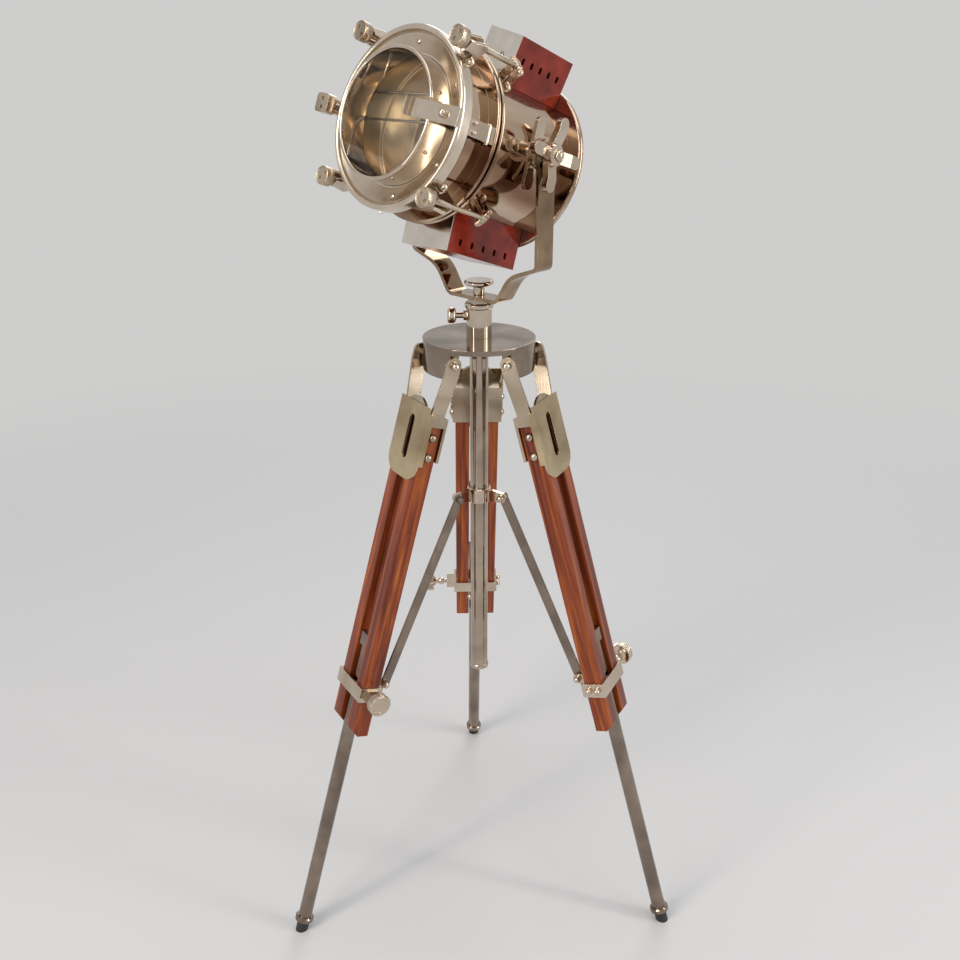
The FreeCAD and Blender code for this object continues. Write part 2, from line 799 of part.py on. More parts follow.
def cross_blades(reach, width, y0, y1, dish):
    """Four rounded blades round the Y axis between y0 and y1, dished outward by dish."""
    half = width / 2
    pieces = []
    for i in range(4):
        blade = slab_z_blade(reach, half, y0, y1, dish)
        pieces.append(turned(blade, Y, 90 * i))
    return joined(*pieces)


def slab_z_blade(reach, half, y0, y1, dish):
    side_view = slab_x([(y0, 0), (y1, 0), (y1, half), (y1 + dish, reach * 0.62), (y1 + dish, reach),
                        (y0 + dish, reach), (y0 + dish, reach * 0.68), (y0, half * 1.3)],
                       -half, half)
    face_view = joined(block(-half, half, y0 - 1, y1 + dish + 1, 0, reach - half),
                       rod(half, vec(0, y0 - 1, reach - half), vec(0, y1 + dish + 1, reach - half)))
    return side_view.common(face_view)


def trunnion():
    end = arm_outer + trunnion_stud_length
    bell_end = arm_inner - side_play
    small = bell_small_radius
    large = bell_large_radius
    inside = drum_radius - 5
    rim = 2.0
    blade_from = drum_radius + seat_gap
    bell_start = blade_from + inner_cross_thickness
    turned_piece = lathe_y([(inside, 0), (inside, small), (bell_start, small),
                            (bell_end - rim, large),
                            (bell_end, large), (bell_end, trunnion_radius),
                            (end - 3, trunnion_radius),
                            ((end - 0.9, trunnion_radius * 0.72), (end, trunnion_radius * 0.3)),
                            (end, 0)])
    blades = cross_blades(inner_cross_reach, cross_blade_width, blade_from,
                          bell_start, 0)
    piece = joined(turned_piece, blades)
    drum_body = rod(drum_radius, vec(drum_back, 0, -drum_drop), vec(drum_front, 0, -drum_drop))
    return piece.cut(drum_body)


def mirrored(shape):
    return shape.mirror(vec(0, 0, 0), Y)


def trunnions():
    return on_trunnions(Part.makeCompound([trunnion(), mirrored(trunnion())]))


def tilt_nut(side):
    y0 = arm_outer + side_play
    hub = rod(tilt_nut_hub_radius, vec(0, y0, 0), vec(0, y0 + tilt_nut_hub_length, 0))
    hub = joined(hub, lathe_y([(y0 + tilt_nut_hub_length, 0), (y0 + tilt_nut_hub_length, tilt_nut_hub_radius),
                               (y0 + tilt_nut_hub_length + 1.6, tilt_nut_hub_radius - 1.8),
                               (y0 + tilt_nut_hub_length + 1.6, 0)]))
    blades = cross_blades(tilt_nut_reach, cross_blade_width, y0 + 0.6, y0 + 0.6 + tilt_nut_thickness,
                          tilt_nut_dish)
    bore = rod(trunnion_radius + pin_fit, vec(0, y0 - 1, 0), vec(0, y0 + tilt_nut_reach, 0))
    nut = joined(hub, blades).cut(bore)
    if side < 0:
        nut = mirrored(nut)
    return on_trunnions(nut)


# Head, in its own frame

def ears():
    """Pivot ears for one swing bolt, standing on the drum behind its flange, at angle 0."""
    inner = swing_eye_half + side_play
    outer = inner + swing_ear_thickness
    reach = swing_ear_reach
    tip = swing_circle
    pieces = []
    for side in (1, -1):
        z0 = min(side * inner, side * outer)
        z1 = max(side * inner, side * outer)
        face = side * outer
        pieces.append(block(swing_pivot - reach, swing_pivot + reach, drum_radius - 1, tip, z0, z1))
        pieces.append(rod(reach, vec(swing_pivot, tip, z0), vec(swing_pivot, tip, z1)))
        pin_head = turned(dome(swing_pin_head, 0, side), X, 90)
        pieces.append(moved(pin_head, swing_pivot, tip, face))
        rivet = turned(dome(swing_rivet_radius, 0, side), X, 90)
        pieces.append(moved(rivet, swing_pivot - 1, swing_rivet_circle, face))
    pieces.append(rod(swing_pin_radius, vec(swing_pivot, tip, -outer), vec(swing_pivot, tip, outer)))
    return joined(*pieces)


def flange_profile(x0, x1, inner, outer):
    """Flat flange whose rim is a rolled bead."""
    middle = (x0 + x1) / 2
    half = (x1 - x0) / 2
    return [(x0, inner), (x0, outer - half), ((middle, outer), (x1, outer - half)), (x1, inner)]


def drum():
    bore = drum_radius - drum_wall
    gap = flange_gap / 2
    flange_front = drum_front - gap
    flange_back = flange_front - flange_thickness
    shell = lathe_x([(drum_back, bore), (drum_back, drum_radius), (flange_back, drum_radius),
                     (drum_front, drum_radius), (drum_front, bore)])
    flange = lathe_x(flange_profile(flange_back, flange_front, drum_radius - 0.5, flange_radius))
    neck = pipe(flange_neck_radius, bore, vec(flange_front - 0.5, 0, 0), vec(drum_front, 0, 0))
    body = joined(shell, flange, neck)
    for angle in swing_angles:
        body = body.fuse(turned(ears(), X, angle))
    for roll, front, width, up in vent_places():
        margin = vent_wall + 3
        hole = block(vent_back + margin, front - margin, -width / 2 + margin, width / 2 - margin,
                     0, drum_radius + 1)
        body = body.cut(vent_turn(hole, roll, up))
    return on_head(body.removeSplitter())


def front_barrel():
    bore = barrel_radius - drum_wall
    rear = drum_front
    flange_back = rear + flange_gap / 2
    flange_front = flange_back + flange_thickness
    seat_front = barrel_front - lens_thickness - 2 * side_play
    shell = lathe_x([(rear, bore), (rear, flange_neck_radius), (flange_back + 0.5, flange_neck_radius),
                     (flange_back + 0.5, barrel_radius), (barrel_front, barrel_radius),
                     (barrel_front, bore), (seat_front, bore), (seat_front, seat_ring_radius),
                     (seat_front - seat_ring_width, seat_ring_radius),
                     (seat_front - seat_ring_width, bore)])
    middle_flange = lathe_x(flange_profile(flange_back, flange_front, barrel_radius - 0.5, flange_radius))
    front = lathe_x(flange_profile(barrel_front - flange_thickness, barrel_front, barrel_radius - 0.5,
                                   front_flange_radius))
    return on_head(joined(shell, middle_flange, front))


def bezel():
    back = barrel_front
    front = back + bezel_depth
    bead = bezel_bead
    rim = bezel_radius
    groove = rim - 2 * bead - 0.4
    lip = back + bezel_inner_depth
    ring = lathe_x([(back, bezel_bore), (back, rim - 0.6), (back + 1.0, rim), (front - bead, rim),
                    ((front, rim - bead), (front - bead, rim - 2 * bead)),
                    (front - bead - 1.2, groove), (front - bead - 0.4, groove - 1.0),
                    ((back + 4.4, (groove + bezel_bore) / 2 - 0.4), (lip, bezel_bore + 1.2)),
                    (lip, bezel_bore)])
    inner = swing_rod_radius + side_play * 2
    outer = inner + swing_lug_thickness
    pieces = [ring]
    for angle in swing_angles:
        for side in (1, -1):
            prong = swing_lug(min(side * inner, side * outer), max(side * inner, side * outer))
            rivet = turned(dome(swing_rivet_radius, 0, side), X, 90)
            rivet_x = barrel_front - swing_lug_foot / 2
            rivet_y = front_flange_radius + side_play + swing_rivet_radius
            rivet = moved(rivet, rivet_x, rivet_y, side * outer)
            pieces.append(turned(joined(prong, rivet), X, angle))
    return on_head(joined(*pieces))


def swing_lug(z0, z1):
    """One of the two slim straps that a swing bolt lies between, from the bezel's back to the nut's seat."""
    tip = swing_circle
    front = swing_lug_front
    rear = front - swing_lug_reach
    foot = front_flange_radius + side_play
    waist = tip - swing_lug_waist
    return slab_z([(front, waist), (front, tip + 3), (front - 3.5, tip + 3),
                   (rear + 3.2, tip + 5), (rear, tip + 2.4), (rear + 1.2, tip - 2.4),
                   (barrel_front - swing_lug_foot, foot), (barrel_front + 0.5, foot),
                   (barrel_front + 2.2, bezel_radius - 1), (rear + 6.6, tip - 5.6), (front - 4, waist)],
                  z0, z1)


def slab_z(steps, z0, z1):
    """Extrude an outline of (x, y) points from z0 to z1."""
    return outline(steps, lambda p: vec(p[0], p[1], z0)).extrude(vec(0, 0, z1 - z0))


def lens():
    back = barrel_front - side_play - lens_thickness
    front = barrel_front - side_play
    radius = barrel_radius - drum_wall - side_play
    return on_head(rod(radius, vec(back, 0, 0), vec(front, 0, 0)))


def hood():
    outer = bezel_bore - seat_gap
    inner = outer - hood_wall
    back = barrel_front + 0.2
    front = hood_front
    roll = hood_roll
    tube = lathe_x([(back, inner), (back, outer), (front - roll, outer),
                    ((front, outer - hood_wall / 2 + roll * 0.4), (front - roll, inner))])
    rim_radius = outer - hood_wall / 2
    rim = Part.makeTorus(rim_radius, roll, vec(front - roll * 0.6, 0, 0), X)
    notch_back = barrel_front + bezel_depth
    notch = block(notch_back, front + 5, rim_radius - 10, rim_radius + 10, -hood_notch_half, hood_notch_half)
    return on_head(joined(tube, rim).cut(at_clip(notch)))


def at_clip(shape):
    """From a clip lying along Y to the clip's place across the hood's edge."""
    out = moved(shape, 0, -clip_post_place, 0)
    return moved(turned(out, X, -clip_skew), 0, clip_post_place, clip_rise)


def hood_clip():
    back = barrel_front + bezel_depth + seat_gap
    front = back + clip_thickness
    half = clip_width / 2
    strap = block(back, front, clip_inner, clip_outer, -half, half)
    lip = block(back, back + clip_lip, clip_inner, clip_inner + clip_thickness, -half, half)
    post_back = barrel_front + 6.5
    post = rod(clip_post_radius, vec(post_back, clip_post_place, 0), vec(back, clip_post_place, 0))
    head = turned(dome(clip_post_radius, 0, 1), Z, -90)
    return on_head(at_clip(joined(strap, lip, post, moved(head, front, clip_post_place, 0))))


def rear_cover():
    rim = cover_rim_radius
    bead = cover_bead
    back = drum_back - cover_depth
    spigot = drum_radius - drum_wall - seat_gap
    wall = cover_wall
    face = drum_back
    flat = cover_flat_radius
    shoulder = drum_back - 2 * bead
    return on_head(lathe_x([(back, 0), (back, flat), ((back + 3.2, flat + 13), (shoulder, spigot + 1)),
                            (shoulder, rim - bead), ((face - bead, rim), (face, rim - bead)),
                            (face, spigot), (face + cover_spigot, spigot),
                            (face + cover_spigot, spigot - wall), (shoulder + wall, spigot - wall),
                            ((back + 3.4 + wall, flat + 11), (back + wall, flat - 1)), (back + wall, 0)]
                           ).cut(gland_hole()))


def gland_hole():
    back = drum_back - cover_depth
    return rod(gland_radius - 1.5 + pin_fit, vec(back - 1, 0, -gland_drop),
               vec(back + cover_wall + 1, 0, -gland_drop))


def cable_gland():
    back = drum_back - cover_depth
    tip = back - gland_length + 4
    neck = gland_radius - 1.5
    gland = lathe_x([(tip, gland_bore), (tip, gland_radius - 2.2), (back - 4.5, gland_radius - 1.2),
                     (back - 4.5, gland_radius), (back, gland_radius), (back, neck),
                     (back + cover_wall, neck), (back + cover_wall, gland_radius - 0.5),
                     (back + cover_wall + 2.5, gland_radius - 0.5), (back + cover_wall + 2.5, gland_bore)])
    return on_head(moved(gland, 0, 0, -gland_drop))


def bezel_hinge():
    """Hinge leaf from the middle flange to the back of the bezel, at angle 0."""
    half = hinge_leaf_width / 2
    back = drum_front + flange_gap / 2 + flange_thickness
    under = front_flange_radius + side_play
    over = under + hinge_leaf_thickness
    leaf = block(back, barrel_front, under, over, -half, half)
    pin_x = back + 5
    pin_y = under - 0.6
    knuckle = rod(hinge_pin_radius + 0.9, vec(pin_x, pin_y, -half), vec(pin_x, pin_y, half))
    pin = rod(hinge_pin_radius, vec(pin_x, pin_y, -half - 1.2), vec(pin_x, pin_y, half + 1.2))
    foot = block(back, back + 9, barrel_radius, under, -half + 2, half - 2)
    hinge = joined(leaf, knuckle, pin, foot)
    for side in (1, -1):
        screw = dome(1.8, over, 1)
        hinge = hinge.fuse(moved(screw, barrel_front - 5, 0, side * 3.2))
    barrel = rod(barrel_radius, vec(0, 0, 0), vec(barrel_front, 0, 0))
    return on_head(hinge.cut(barrel))


def swing_bolt(angle):
    eye = rod(swing_eye_radius, vec(0, 0, -swing_eye_half), vec(0, 0, swing_eye_half))
    length = swing_tip - swing_nut_cap - side_play - swing_pivot
    bolt = joined(eye, rod(swing_rod_radius, vec(0, 0, 0), vec(length, 0, 0)))
    bolt = bolt.cut(rod(swing_pin_radius + pin_fit, vec(0, 0, -10), vec(0, 0, 10)))
    return on_head(turned(moved(bolt, swing_pivot, swing_circle, 0), X, angle))


def swing_nut(angle):
    neck_back = swing_lug_front + side_play
    disc_back = neck_back + swing_nut_neck_length
    disc = knurled_disc(swing_nut_radius, swing_nut_width, 12)
    disc = moved(turned(disc, Z, -90), disc_back, 0, 0)
    neck = rod(swing_nut_neck, vec(neck_back, 0, 0), vec(disc_back + 1, 0, 0))
    bore_end = swing_tip - swing_nut_cap
    if angle == square_nut_angle:
        half = square_nut_side / 2
        disc = block(disc_back, disc_back + swing_nut_width, -half, half, -half, half)
        edges = [e for e in disc.Edges if abs(e.tangentAt(e.FirstParameter).x) > 0.9]
        disc = disc.makeFillet(2.5, edges)
    nut = joined(neck, disc)
    nut = nut.cut(rod(swing_rod_radius + pin_fit, vec(neck_back - 1, 0, 0), vec(bore_end, 0, 0)))
    front = disc_back + swing_nut_width
    for side in (1, -1):
        nut = nut.cut(rod(swing_nut_holes, vec(front - 1.5, 0, side * 3.1), vec(front + 1, 0, side * 3.1)))
    return on_head(turned(moved(nut, 0, swing_circle, 0), X, angle))


# Vent boxes

def vent_places():
    """Roll about the head's axis, front, width, and +1 for the top or -1 for the bottom."""
    return [(top_vent_roll, top_vent_front, top_vent_width, 1),
            (0.0, bottom_vent_front, bottom_vent_width, -1)]


def vent_turn(shape, roll, up):
    if up < 0:
        shape = turned(shape, X, 180)
    return turned(shape, X, -roll)


def vent_box(roll, front, width, height, up):
    half = width / 2
    back = vent_back
    low = math.sqrt(drum_radius ** 2 - half ** 2) - 4
    outer = block(back, front, -half, half, low, height)
    inner = block(back + vent_wall, front - vent_wall, -half + vent_wall, half - vent_wall,
                  low - 1, height - vent_wall)
    box = outer.cut(inner)
    pitch = (front - back) / (vent_slots + 1)
    z = height - (top_slot_drop if up > 0 else bottom_slot_drop)
    round_end = vent_slot_width / 2
    straight = vent_slot_height / 2 - round_end
    for i in range(vent_slots):
        x = back + pitch * (i + 1)
        slot = joined(block(x - round_end, x + round_end, -half - 1, half + 1, z - straight, z + straight),
                      rod(round_end, vec(x, -half - 1, z - straight), vec(x, half + 1, z - straight)),
                      rod(round_end, vec(x, -half - 1, z + straight), vec(x, half + 1, z + straight)))
        box = box.cut(slot)
    if up > 0:
        hole_z = height - vent_hole_drop
        hole_y = half * 0.25
        box = box.cut(rod(vent_hole_radius, vec(front - 5, hole_y, hole_z), vec(front + 1, hole_y, hole_z)))
    box = box.cut(rod(drum_radius + seat_gap, vec(drum_back, 0, 0), vec(drum_front, 0, 0)))
    return on_head(vent_turn(box, roll, up))


# Inside the drum

def reflector():
    rim = drum_radius - drum_wall - seat_gap
    wall = reflector_wall
    middle = (reflector_back + 12, 38)
    bowl = lathe_x([(reflector_back, reflector_neck), (middle, (reflector_front, rim - 4)),
                    (reflector_front, rim), (reflector_front - wall, rim),
                    (reflector_front - wall, rim - 3.6),
                    ((middle[0] - wall, middle[1] + wall), (reflector_back - wall, reflector_neck + wall)),
                    (reflector_back - wall, reflector_neck)])
    return on_head(bowl)


def lamp_holder():
    back = drum_back - cover_depth + cover_wall + seat_gap
    step = holder_front - 9
    return on_head(lathe_x([(back, 0), (back, holder_radius + 3), (back + 3, holder_radius + 3),
                            (back + 3, holder_radius), (step, holder_radius),
                            (step, holder_radius - 1.5), (holder_front, holder_radius - 1.5),
                            (holder_front, 0)]))


def bulb():
    back = holder_front + side_play
    middle = vec(bulb_middle, 0, 0)
    neck = rod(bulb_neck, vec(back, 0, 0), middle)
    shoulder = Part.makeCone(bulb_neck, bulb_radius * 0.9, bulb_radius * 0.62,
                             vec(bulb_middle - bulb_radius * 1.06, 0, 0), X)
    return on_head(joined(neck, shoulder, ball(bulb_radius, middle)))


def build():
    parts = {
        "top_plate": top_plate(),
        "hinge_bolts": hinge_bolts(),
        "column_sleeve": column_sleeve(),
        "sleeve_screw": sleeve_screw(),
        "column": column(),
        "pan_knob": pan_knob(),
        "brace_hub": brace_hub(),
        "yoke": yoke_strap(),
        "trunnions": trunnions(),
        "tilt_nut_right": tilt_nut(1),
        "tilt_nut_left": tilt_nut(-1),
        "drum": drum(),
        "front_barrel": front_barrel(),
        "bezel": bezel(),
        "bezel_hinge": bezel_hinge(),
        "lens": lens(),
        "hood": hood(),
        "hood_clip": hood_clip(),
        "rear_cover": rear_cover(),
        "cable_gland": cable_gland(),
        "reflector": reflector(),
        "lamp_holder": lamp_holder(),
        "bulb": bulb(),
    }
    parts["top_vent_box"] = vent_box(top_vent_roll, top_vent_front, top_vent_width,
                                     top_vent_height, 1)
    parts["bottom_vent_box"] = vent_box(0.0, bottom_vent_front, bottom_vent_width,
                                        bottom_vent_height, -1)
    for number, angle in enumerate(swing_angles, 1):
        parts["swing_bolt_%d" % number] = swing_bolt(angle)
        parts["swing_nut_%d" % number] = swing_nut(angle)
    for name, azimuth in leg_azimuths.items():
        leg = "leg_" + name
        parts[leg + "_slats"] = on_leg(leg_slats(), azimuth)
        parts[leg + "_fork"] = on_leg(leg_fork(), azimuth)
        parts[leg + "_shield"] = on_leg(leg_shield(), azimuth)
        parts[leg + "_clamp"] = on_leg(leg_clamp(), azimuth)
        parts[leg + "_clamp_knob"] = on_leg(clamp_knob(clamp_knob_places[name]), azimuth)
        parts[leg + "_tube"] = on_leg(leg_tube(), azimuth)
        parts[leg + "_foot"] = cut_at_floor(on_leg(leg_foot(), azimuth))
        parts[leg + "_brace"] = turned(brace(), Z, azimuth)
    return {name: moved(shape, 0, stand_shift, 0) for name, shape in parts.items()}


def main():
    os.makedirs("parts", exist_ok=True)
    for name, shape in build().items():
        shape.exportStep("parts/%s.step" % name)
        print(name, len(shape.Solids), "solids", round(shape.Volume / 1000, 2), "cm3", shape.isValid())


if __name__ == "__main__":
    main()
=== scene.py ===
# %% [markdown]
# # A searchlight lamp on a wooden tripod
# The lamp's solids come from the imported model, which stays fixed. This script gives them their finishes,
# adds the small pieces that are easier to shape here, and sets up a plain studio round the lamp.
# Everything is in metres and in the same frame as the solids, so nothing has to be fitted by eye.

# %% Load the frame
import json
import math

import bmesh
import bpy
from mathutils import Euler, Matrix, Vector

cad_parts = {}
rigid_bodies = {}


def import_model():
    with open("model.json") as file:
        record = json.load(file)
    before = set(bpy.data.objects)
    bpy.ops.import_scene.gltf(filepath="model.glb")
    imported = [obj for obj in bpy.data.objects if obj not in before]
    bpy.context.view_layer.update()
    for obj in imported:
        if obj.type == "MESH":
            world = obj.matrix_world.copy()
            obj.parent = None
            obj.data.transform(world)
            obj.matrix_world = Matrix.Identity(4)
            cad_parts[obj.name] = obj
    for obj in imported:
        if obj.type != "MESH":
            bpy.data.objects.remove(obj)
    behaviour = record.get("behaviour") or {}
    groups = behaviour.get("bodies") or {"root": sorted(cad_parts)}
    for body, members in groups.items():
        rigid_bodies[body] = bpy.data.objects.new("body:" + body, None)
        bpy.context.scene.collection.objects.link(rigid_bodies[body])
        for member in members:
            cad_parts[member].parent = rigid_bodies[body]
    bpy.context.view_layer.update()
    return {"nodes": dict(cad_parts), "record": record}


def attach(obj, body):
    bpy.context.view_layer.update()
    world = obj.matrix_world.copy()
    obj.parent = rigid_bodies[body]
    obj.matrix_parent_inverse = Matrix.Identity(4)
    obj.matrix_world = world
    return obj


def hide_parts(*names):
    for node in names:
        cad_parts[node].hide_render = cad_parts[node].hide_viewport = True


for leftover in list(bpy.data.objects):
    bpy.data.objects.remove(leftover)

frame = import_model()
nodes = frame["nodes"]
bodies = frame["record"]["behaviour"]["bodies"]
body_of_node = {node: body for body, members in bodies.items() for node in members}

# %% [markdown]
# ## Two frames of our own
# Many pieces are turned parts, and a turned part is easiest to draw lying along X. So the head gets a matrix
# that takes a piece drawn along the light's axis to its place on the lamp, and so does each leg.
# The numbers are the head's and legs' own sizes in millimetres, and `mm` makes metres of them.

# %% Places of the head and the legs
mm = 0.001
stand_shift = -42.2 * mm
yoke_azimuth = math.radians(224.0)
trunnion_z = 701.0 * mm
head_tilt = math.radians(19.0)
drum_drop = 2.5 * mm
leg_azimuths = {"rear": 90.0, "left": 210.0, "right": 330.0}
leg_tilt = math.radians(16.4)
hinge_radius = 41.0 * mm
hinge_z = 538.0 * mm

column_place = Matrix.Translation((0, stand_shift, 0))
trunnion_place = (column_place @ Matrix.Rotation(yoke_azimuth, 4, "Z")
                  @ Matrix.Translation((0, 0, trunnion_z)) @ Matrix.Rotation(-head_tilt, 4, "Y"))
head_place = trunnion_place @ Matrix.Translation((0, 0, -drum_drop))


def leg_place(azimuth):
    """From a leg hanging straight down from its hinge to that leg's place on the tripod."""
    return (column_place @ Matrix.Rotation(math.radians(azimuth), 4, "Z")
            @ Matrix.Translation((hinge_radius, 0, hinge_z)) @ Matrix.Rotation(-leg_tilt, 4, "Y"))


print("light points along", [round(x, 3) for x in head_place.to_3x3() @ Vector((1, 0, 0))])

# %% [markdown]
# ## The camera
# A photograph's angle is matched by where the camera stands and how far it looks down, and its perspective by
# the lens. The lamp's tripod is turned two degrees to us, so the camera goes round it by two degrees instead.

# %% Camera
camera_pitch = 66.97         # 90 degrees is level, 0 looks straight down
camera_turn = -2.0
camera_data = bpy.data.cameras.new("photo_view")
camera_data.lens = 38.6
camera_data.sensor_width = 36.0
camera_data.clip_start = 0.05
camera_data.clip_end = 60.0
camera = bpy.data.objects.new("photo_view", camera_data)
bpy.context.scene.collection.objects.link(camera)
camera.location = (-0.0286, -0.8837, 0.7773)
camera.rotation_euler = Euler((math.radians(camera_pitch), 0, math.radians(camera_turn)))
bpy.context.scene.camera = camera
print("camera looks down", round(90 - camera_pitch, 2), "degrees")

# %% [markdown]
# ## The studio
# Polished metal shows its surroundings, so the studio is as much a part of its look as the metal is. Large
# soft lamps give long clean highlights, and a pale world fills the rest. The world is bright where the
# camera, a mirror or glass sees it, and dimmer where it lights the lamp, so that the shadows stay soft but
# visible. The floor takes the lamp's shadow and fades into the same colour further out, so that no horizon
# shows.

# %% World and floor
scene = bpy.context.scene
scene.view_settings.view_transform = "Standard"

backdrop_colour = (0.62, 0.615, 0.61, 1)
world_light = 0.45
floor_half = 12.0
shadow_reach = 0.45          # the floor is plain paint up to here, in metres from its middle
backdrop_reach = 1.9         # and all backdrop colour from here on
world = bpy.data.worlds.new("studio")
scene.world = world
world.use_nodes = True
sky = world.node_tree
sky.nodes.clear()
seen = sky.nodes.new("ShaderNodeLightPath")
camera_or_glossy = sky.nodes.new("ShaderNodeMath")
camera_or_glossy.operation = "MAXIMUM"
or_transmission = sky.nodes.new("ShaderNodeMath")
or_transmission.operation = "MAXIMUM"
lighting = sky.nodes.new("ShaderNodeBackground")
lighting.inputs["Color"].default_value = (0.95, 0.96, 1.0, 1)
lighting.inputs["Strength"].default_value = world_light
backdrop = sky.nodes.new("ShaderNodeBackground")
backdrop.inputs["Color"].default_value = backdrop_colour
backdrop.inputs["Strength"].default_value = 1.0
choose = sky.nodes.new("ShaderNodeMixShader")
sky_out = sky.nodes.new("ShaderNodeOutputWorld")
sky.links.new(seen.outputs["Is Camera Ray"], camera_or_glossy.inputs[0])
sky.links.new(seen.outputs["Is Glossy Ray"], camera_or_glossy.inputs[1])
sky.links.new(camera_or_glossy.outputs[0], or_transmission.inputs[0])
sky.links.new(seen.outputs["Is Transmission Ray"], or_transmission.inputs[1])
sky.links.new(or_transmission.outputs[0], choose.inputs["Fac"])
sky.links.new(lighting.outputs[0], choose.inputs[1])
sky.links.new(backdrop.outputs[0], choose.inputs[2])
sky.links.new(choose.outputs[0], sky_out.inputs["Surface"])

floor_data = bpy.data.meshes.new("floor")
floor_mesh = bmesh.new()
bmesh.ops.create_grid(floor_mesh, x_segments=1, y_segments=1, size=floor_half)
floor_mesh.to_mesh(floor_data)
floor_mesh.free()
floor = bpy.data.objects.new("floor", floor_data)
scene.collection.objects.link(floor)
floor_paint = bpy.data.materials.new("pale_floor")
floor_paint.use_nodes = True
paint = floor_paint.node_tree
matt = paint.nodes["Principled BSDF"]
matt.inputs["Base Color"].default_value = backdrop_colour
matt.inputs["Roughness"].default_value = 0.9
matt.inputs["Specular IOR Level"].default_value = 0.1
spot = paint.nodes.new("ShaderNodeTexCoord")
distance = paint.nodes.new("ShaderNodeVectorMath")
distance.operation = "LENGTH"
fade = paint.nodes.new("ShaderNodeMapRange")
fade.interpolation_type = "SMOOTHSTEP"
fade.inputs["From Min"].default_value = shadow_reach
fade.inputs["From Max"].default_value = backdrop_reach
even = paint.nodes.new("ShaderNodeEmission")
even.inputs["Color"].default_value = backdrop_colour
blend = paint.nodes.new("ShaderNodeMixShader")
paint.links.new(spot.outputs["Object"], distance.inputs[0])
paint.links.new(distance.outputs["Value"], fade.inputs["Value"])
paint.links.new(fade.outputs["Result"], blend.inputs["Fac"])
paint.links.new(matt.outputs[0], blend.inputs[1])
paint.links.new(even.outputs[0], blend.inputs[2])
paint.links.new(blend.outputs[0], paint.nodes["Material Output"].inputs["Surface"])
floor_data.materials.append(floor_paint)


# %% Lamps
def soft_lamp(name, place, aim, size, power, colour=(1, 1, 1), height=None):
    """An area lamp that faces a point: square, or a tall strip if it has a height."""
    data = bpy.data.lights.new(name, "AREA")
    data.size = size
    if height:
        data.shape = "RECTANGLE"
        data.size_y = height
    data.energy = power
    data.color = colour
    lamp = bpy.data.objects.new(name, data)
    scene.collection.objects.link(lamp)
    lamp.location = place
    lamp.rotation_euler = (Vector(aim) - Vector(place)).to_track_quat("-Z", "Y").to_euler()


lamp_middle = (0, stand_shift, 0.45)
soft_lamp("key", (-1.5, -1.5, 2.0), lamp_middle, 1.3, 24, (1, 0.97, 0.93))
soft_lamp("fill", (1.9, -1.0, 1.2), lamp_middle, 1.5, 11, (0.95, 0.97, 1))
soft_lamp("rim", (0.5, 2.0, 1.9), lamp_middle, 1.2, 16)
soft_lamp("overhead", (0, -0.2, 2.6), lamp_middle, 1.6, 10)
soft_lamp("left_strip", (-1.1, -0.9, 0.95), lamp_middle, 0.12, 5, (1, 0.95, 0.88), 1.4)
soft_lamp("right_strip", (1.25, -0.5, 0.95), lamp_middle, 0.12, 5, (1, 0.97, 0.92), 1.4)

# %% [markdown]
# ## Materials from nodes
# A real finish is never quite even: polish has faint haze and wipe marks, brushed metal has fine lines, and
# lacquer pools a little. Noise textures on Object coordinates give all of these. A Mapping node set to
# Texture undoes a piece's place, so that a pattern can run along the piece's own axis.


# %% Material helpers
def new_material(name):
    """A material, its node tree and its shader."""
    material = bpy.data.materials.new(name)
    material.use_nodes = True
    tree = material.node_tree
    return material, tree, tree.nodes["Principled BSDF"]


def own_coordinates(tree, place):
    """Object coordinates, undone by a place, in the piece's own frame."""
    coordinates = tree.nodes.new("ShaderNodeTexCoord")
    mapping = tree.nodes.new("ShaderNodeMapping")
    mapping.vector_type = "TEXTURE"
    mapping.inputs["Location"].default_value = place.to_translation()
    mapping.inputs["Rotation"].default_value = place.to_euler("XYZ")
    tree.links.new(coordinates.outputs["Object"], mapping.inputs["Vector"])
    return mapping.outputs["Vector"]


def stretched(tree, vector, scale):
    """Coordinates scaled along each axis: a small number draws a pattern out along that axis."""
    mapping = tree.nodes.new("ShaderNodeMapping")
    mapping.inputs["Scale"].default_value = scale
    tree.links.new(vector, mapping.inputs["Vector"])
    return mapping.outputs["Vector"]


def noise(tree, vector, scale, detail=3.0, rough=0.5, distortion=0.0):
    """Noise from 0 to 1, mostly between 0.3 and 0.7."""
    node = tree.nodes.new("ShaderNodeTexNoise")
    node.inputs["Scale"].default_value = scale
    node.inputs["Detail"].default_value = detail
    node.inputs["Roughness"].default_value = rough
    node.inputs["Distortion"].default_value = distortion
    tree.links.new(vector, node.inputs["Vector"])
    return node.outputs["Fac"]


def ramp(tree, value, stops):
    """A colour ramp. Each stop is (place, colour)."""
    node = tree.nodes.new("ShaderNodeValToRGB")
    elements = node.color_ramp.elements
    while len(elements) < len(stops):
        elements.new(0.5)
    for element, (place, colour) in zip(elements, stops):
        element.position = place
        element.color = (*colour, 1)
    tree.links.new(value, node.inputs["Fac"])
    return node.outputs["Color"]


def mixed(tree, factor, first, second, how="MIX"):
    """Two colours mixed by a factor, which is a number or a node's output."""
    mix = tree.nodes.new("ShaderNodeMix")
    mix.data_type = "RGBA"
    mix.blend_type = how
    if isinstance(factor, float):
        mix.inputs["Factor"].default_value = factor
    else:
        tree.links.new(factor, mix.inputs["Factor"])
    tree.links.new(first, mix.inputs["A"])
    tree.links.new(second, mix.inputs["B"])
    return mix.outputs["Result"]


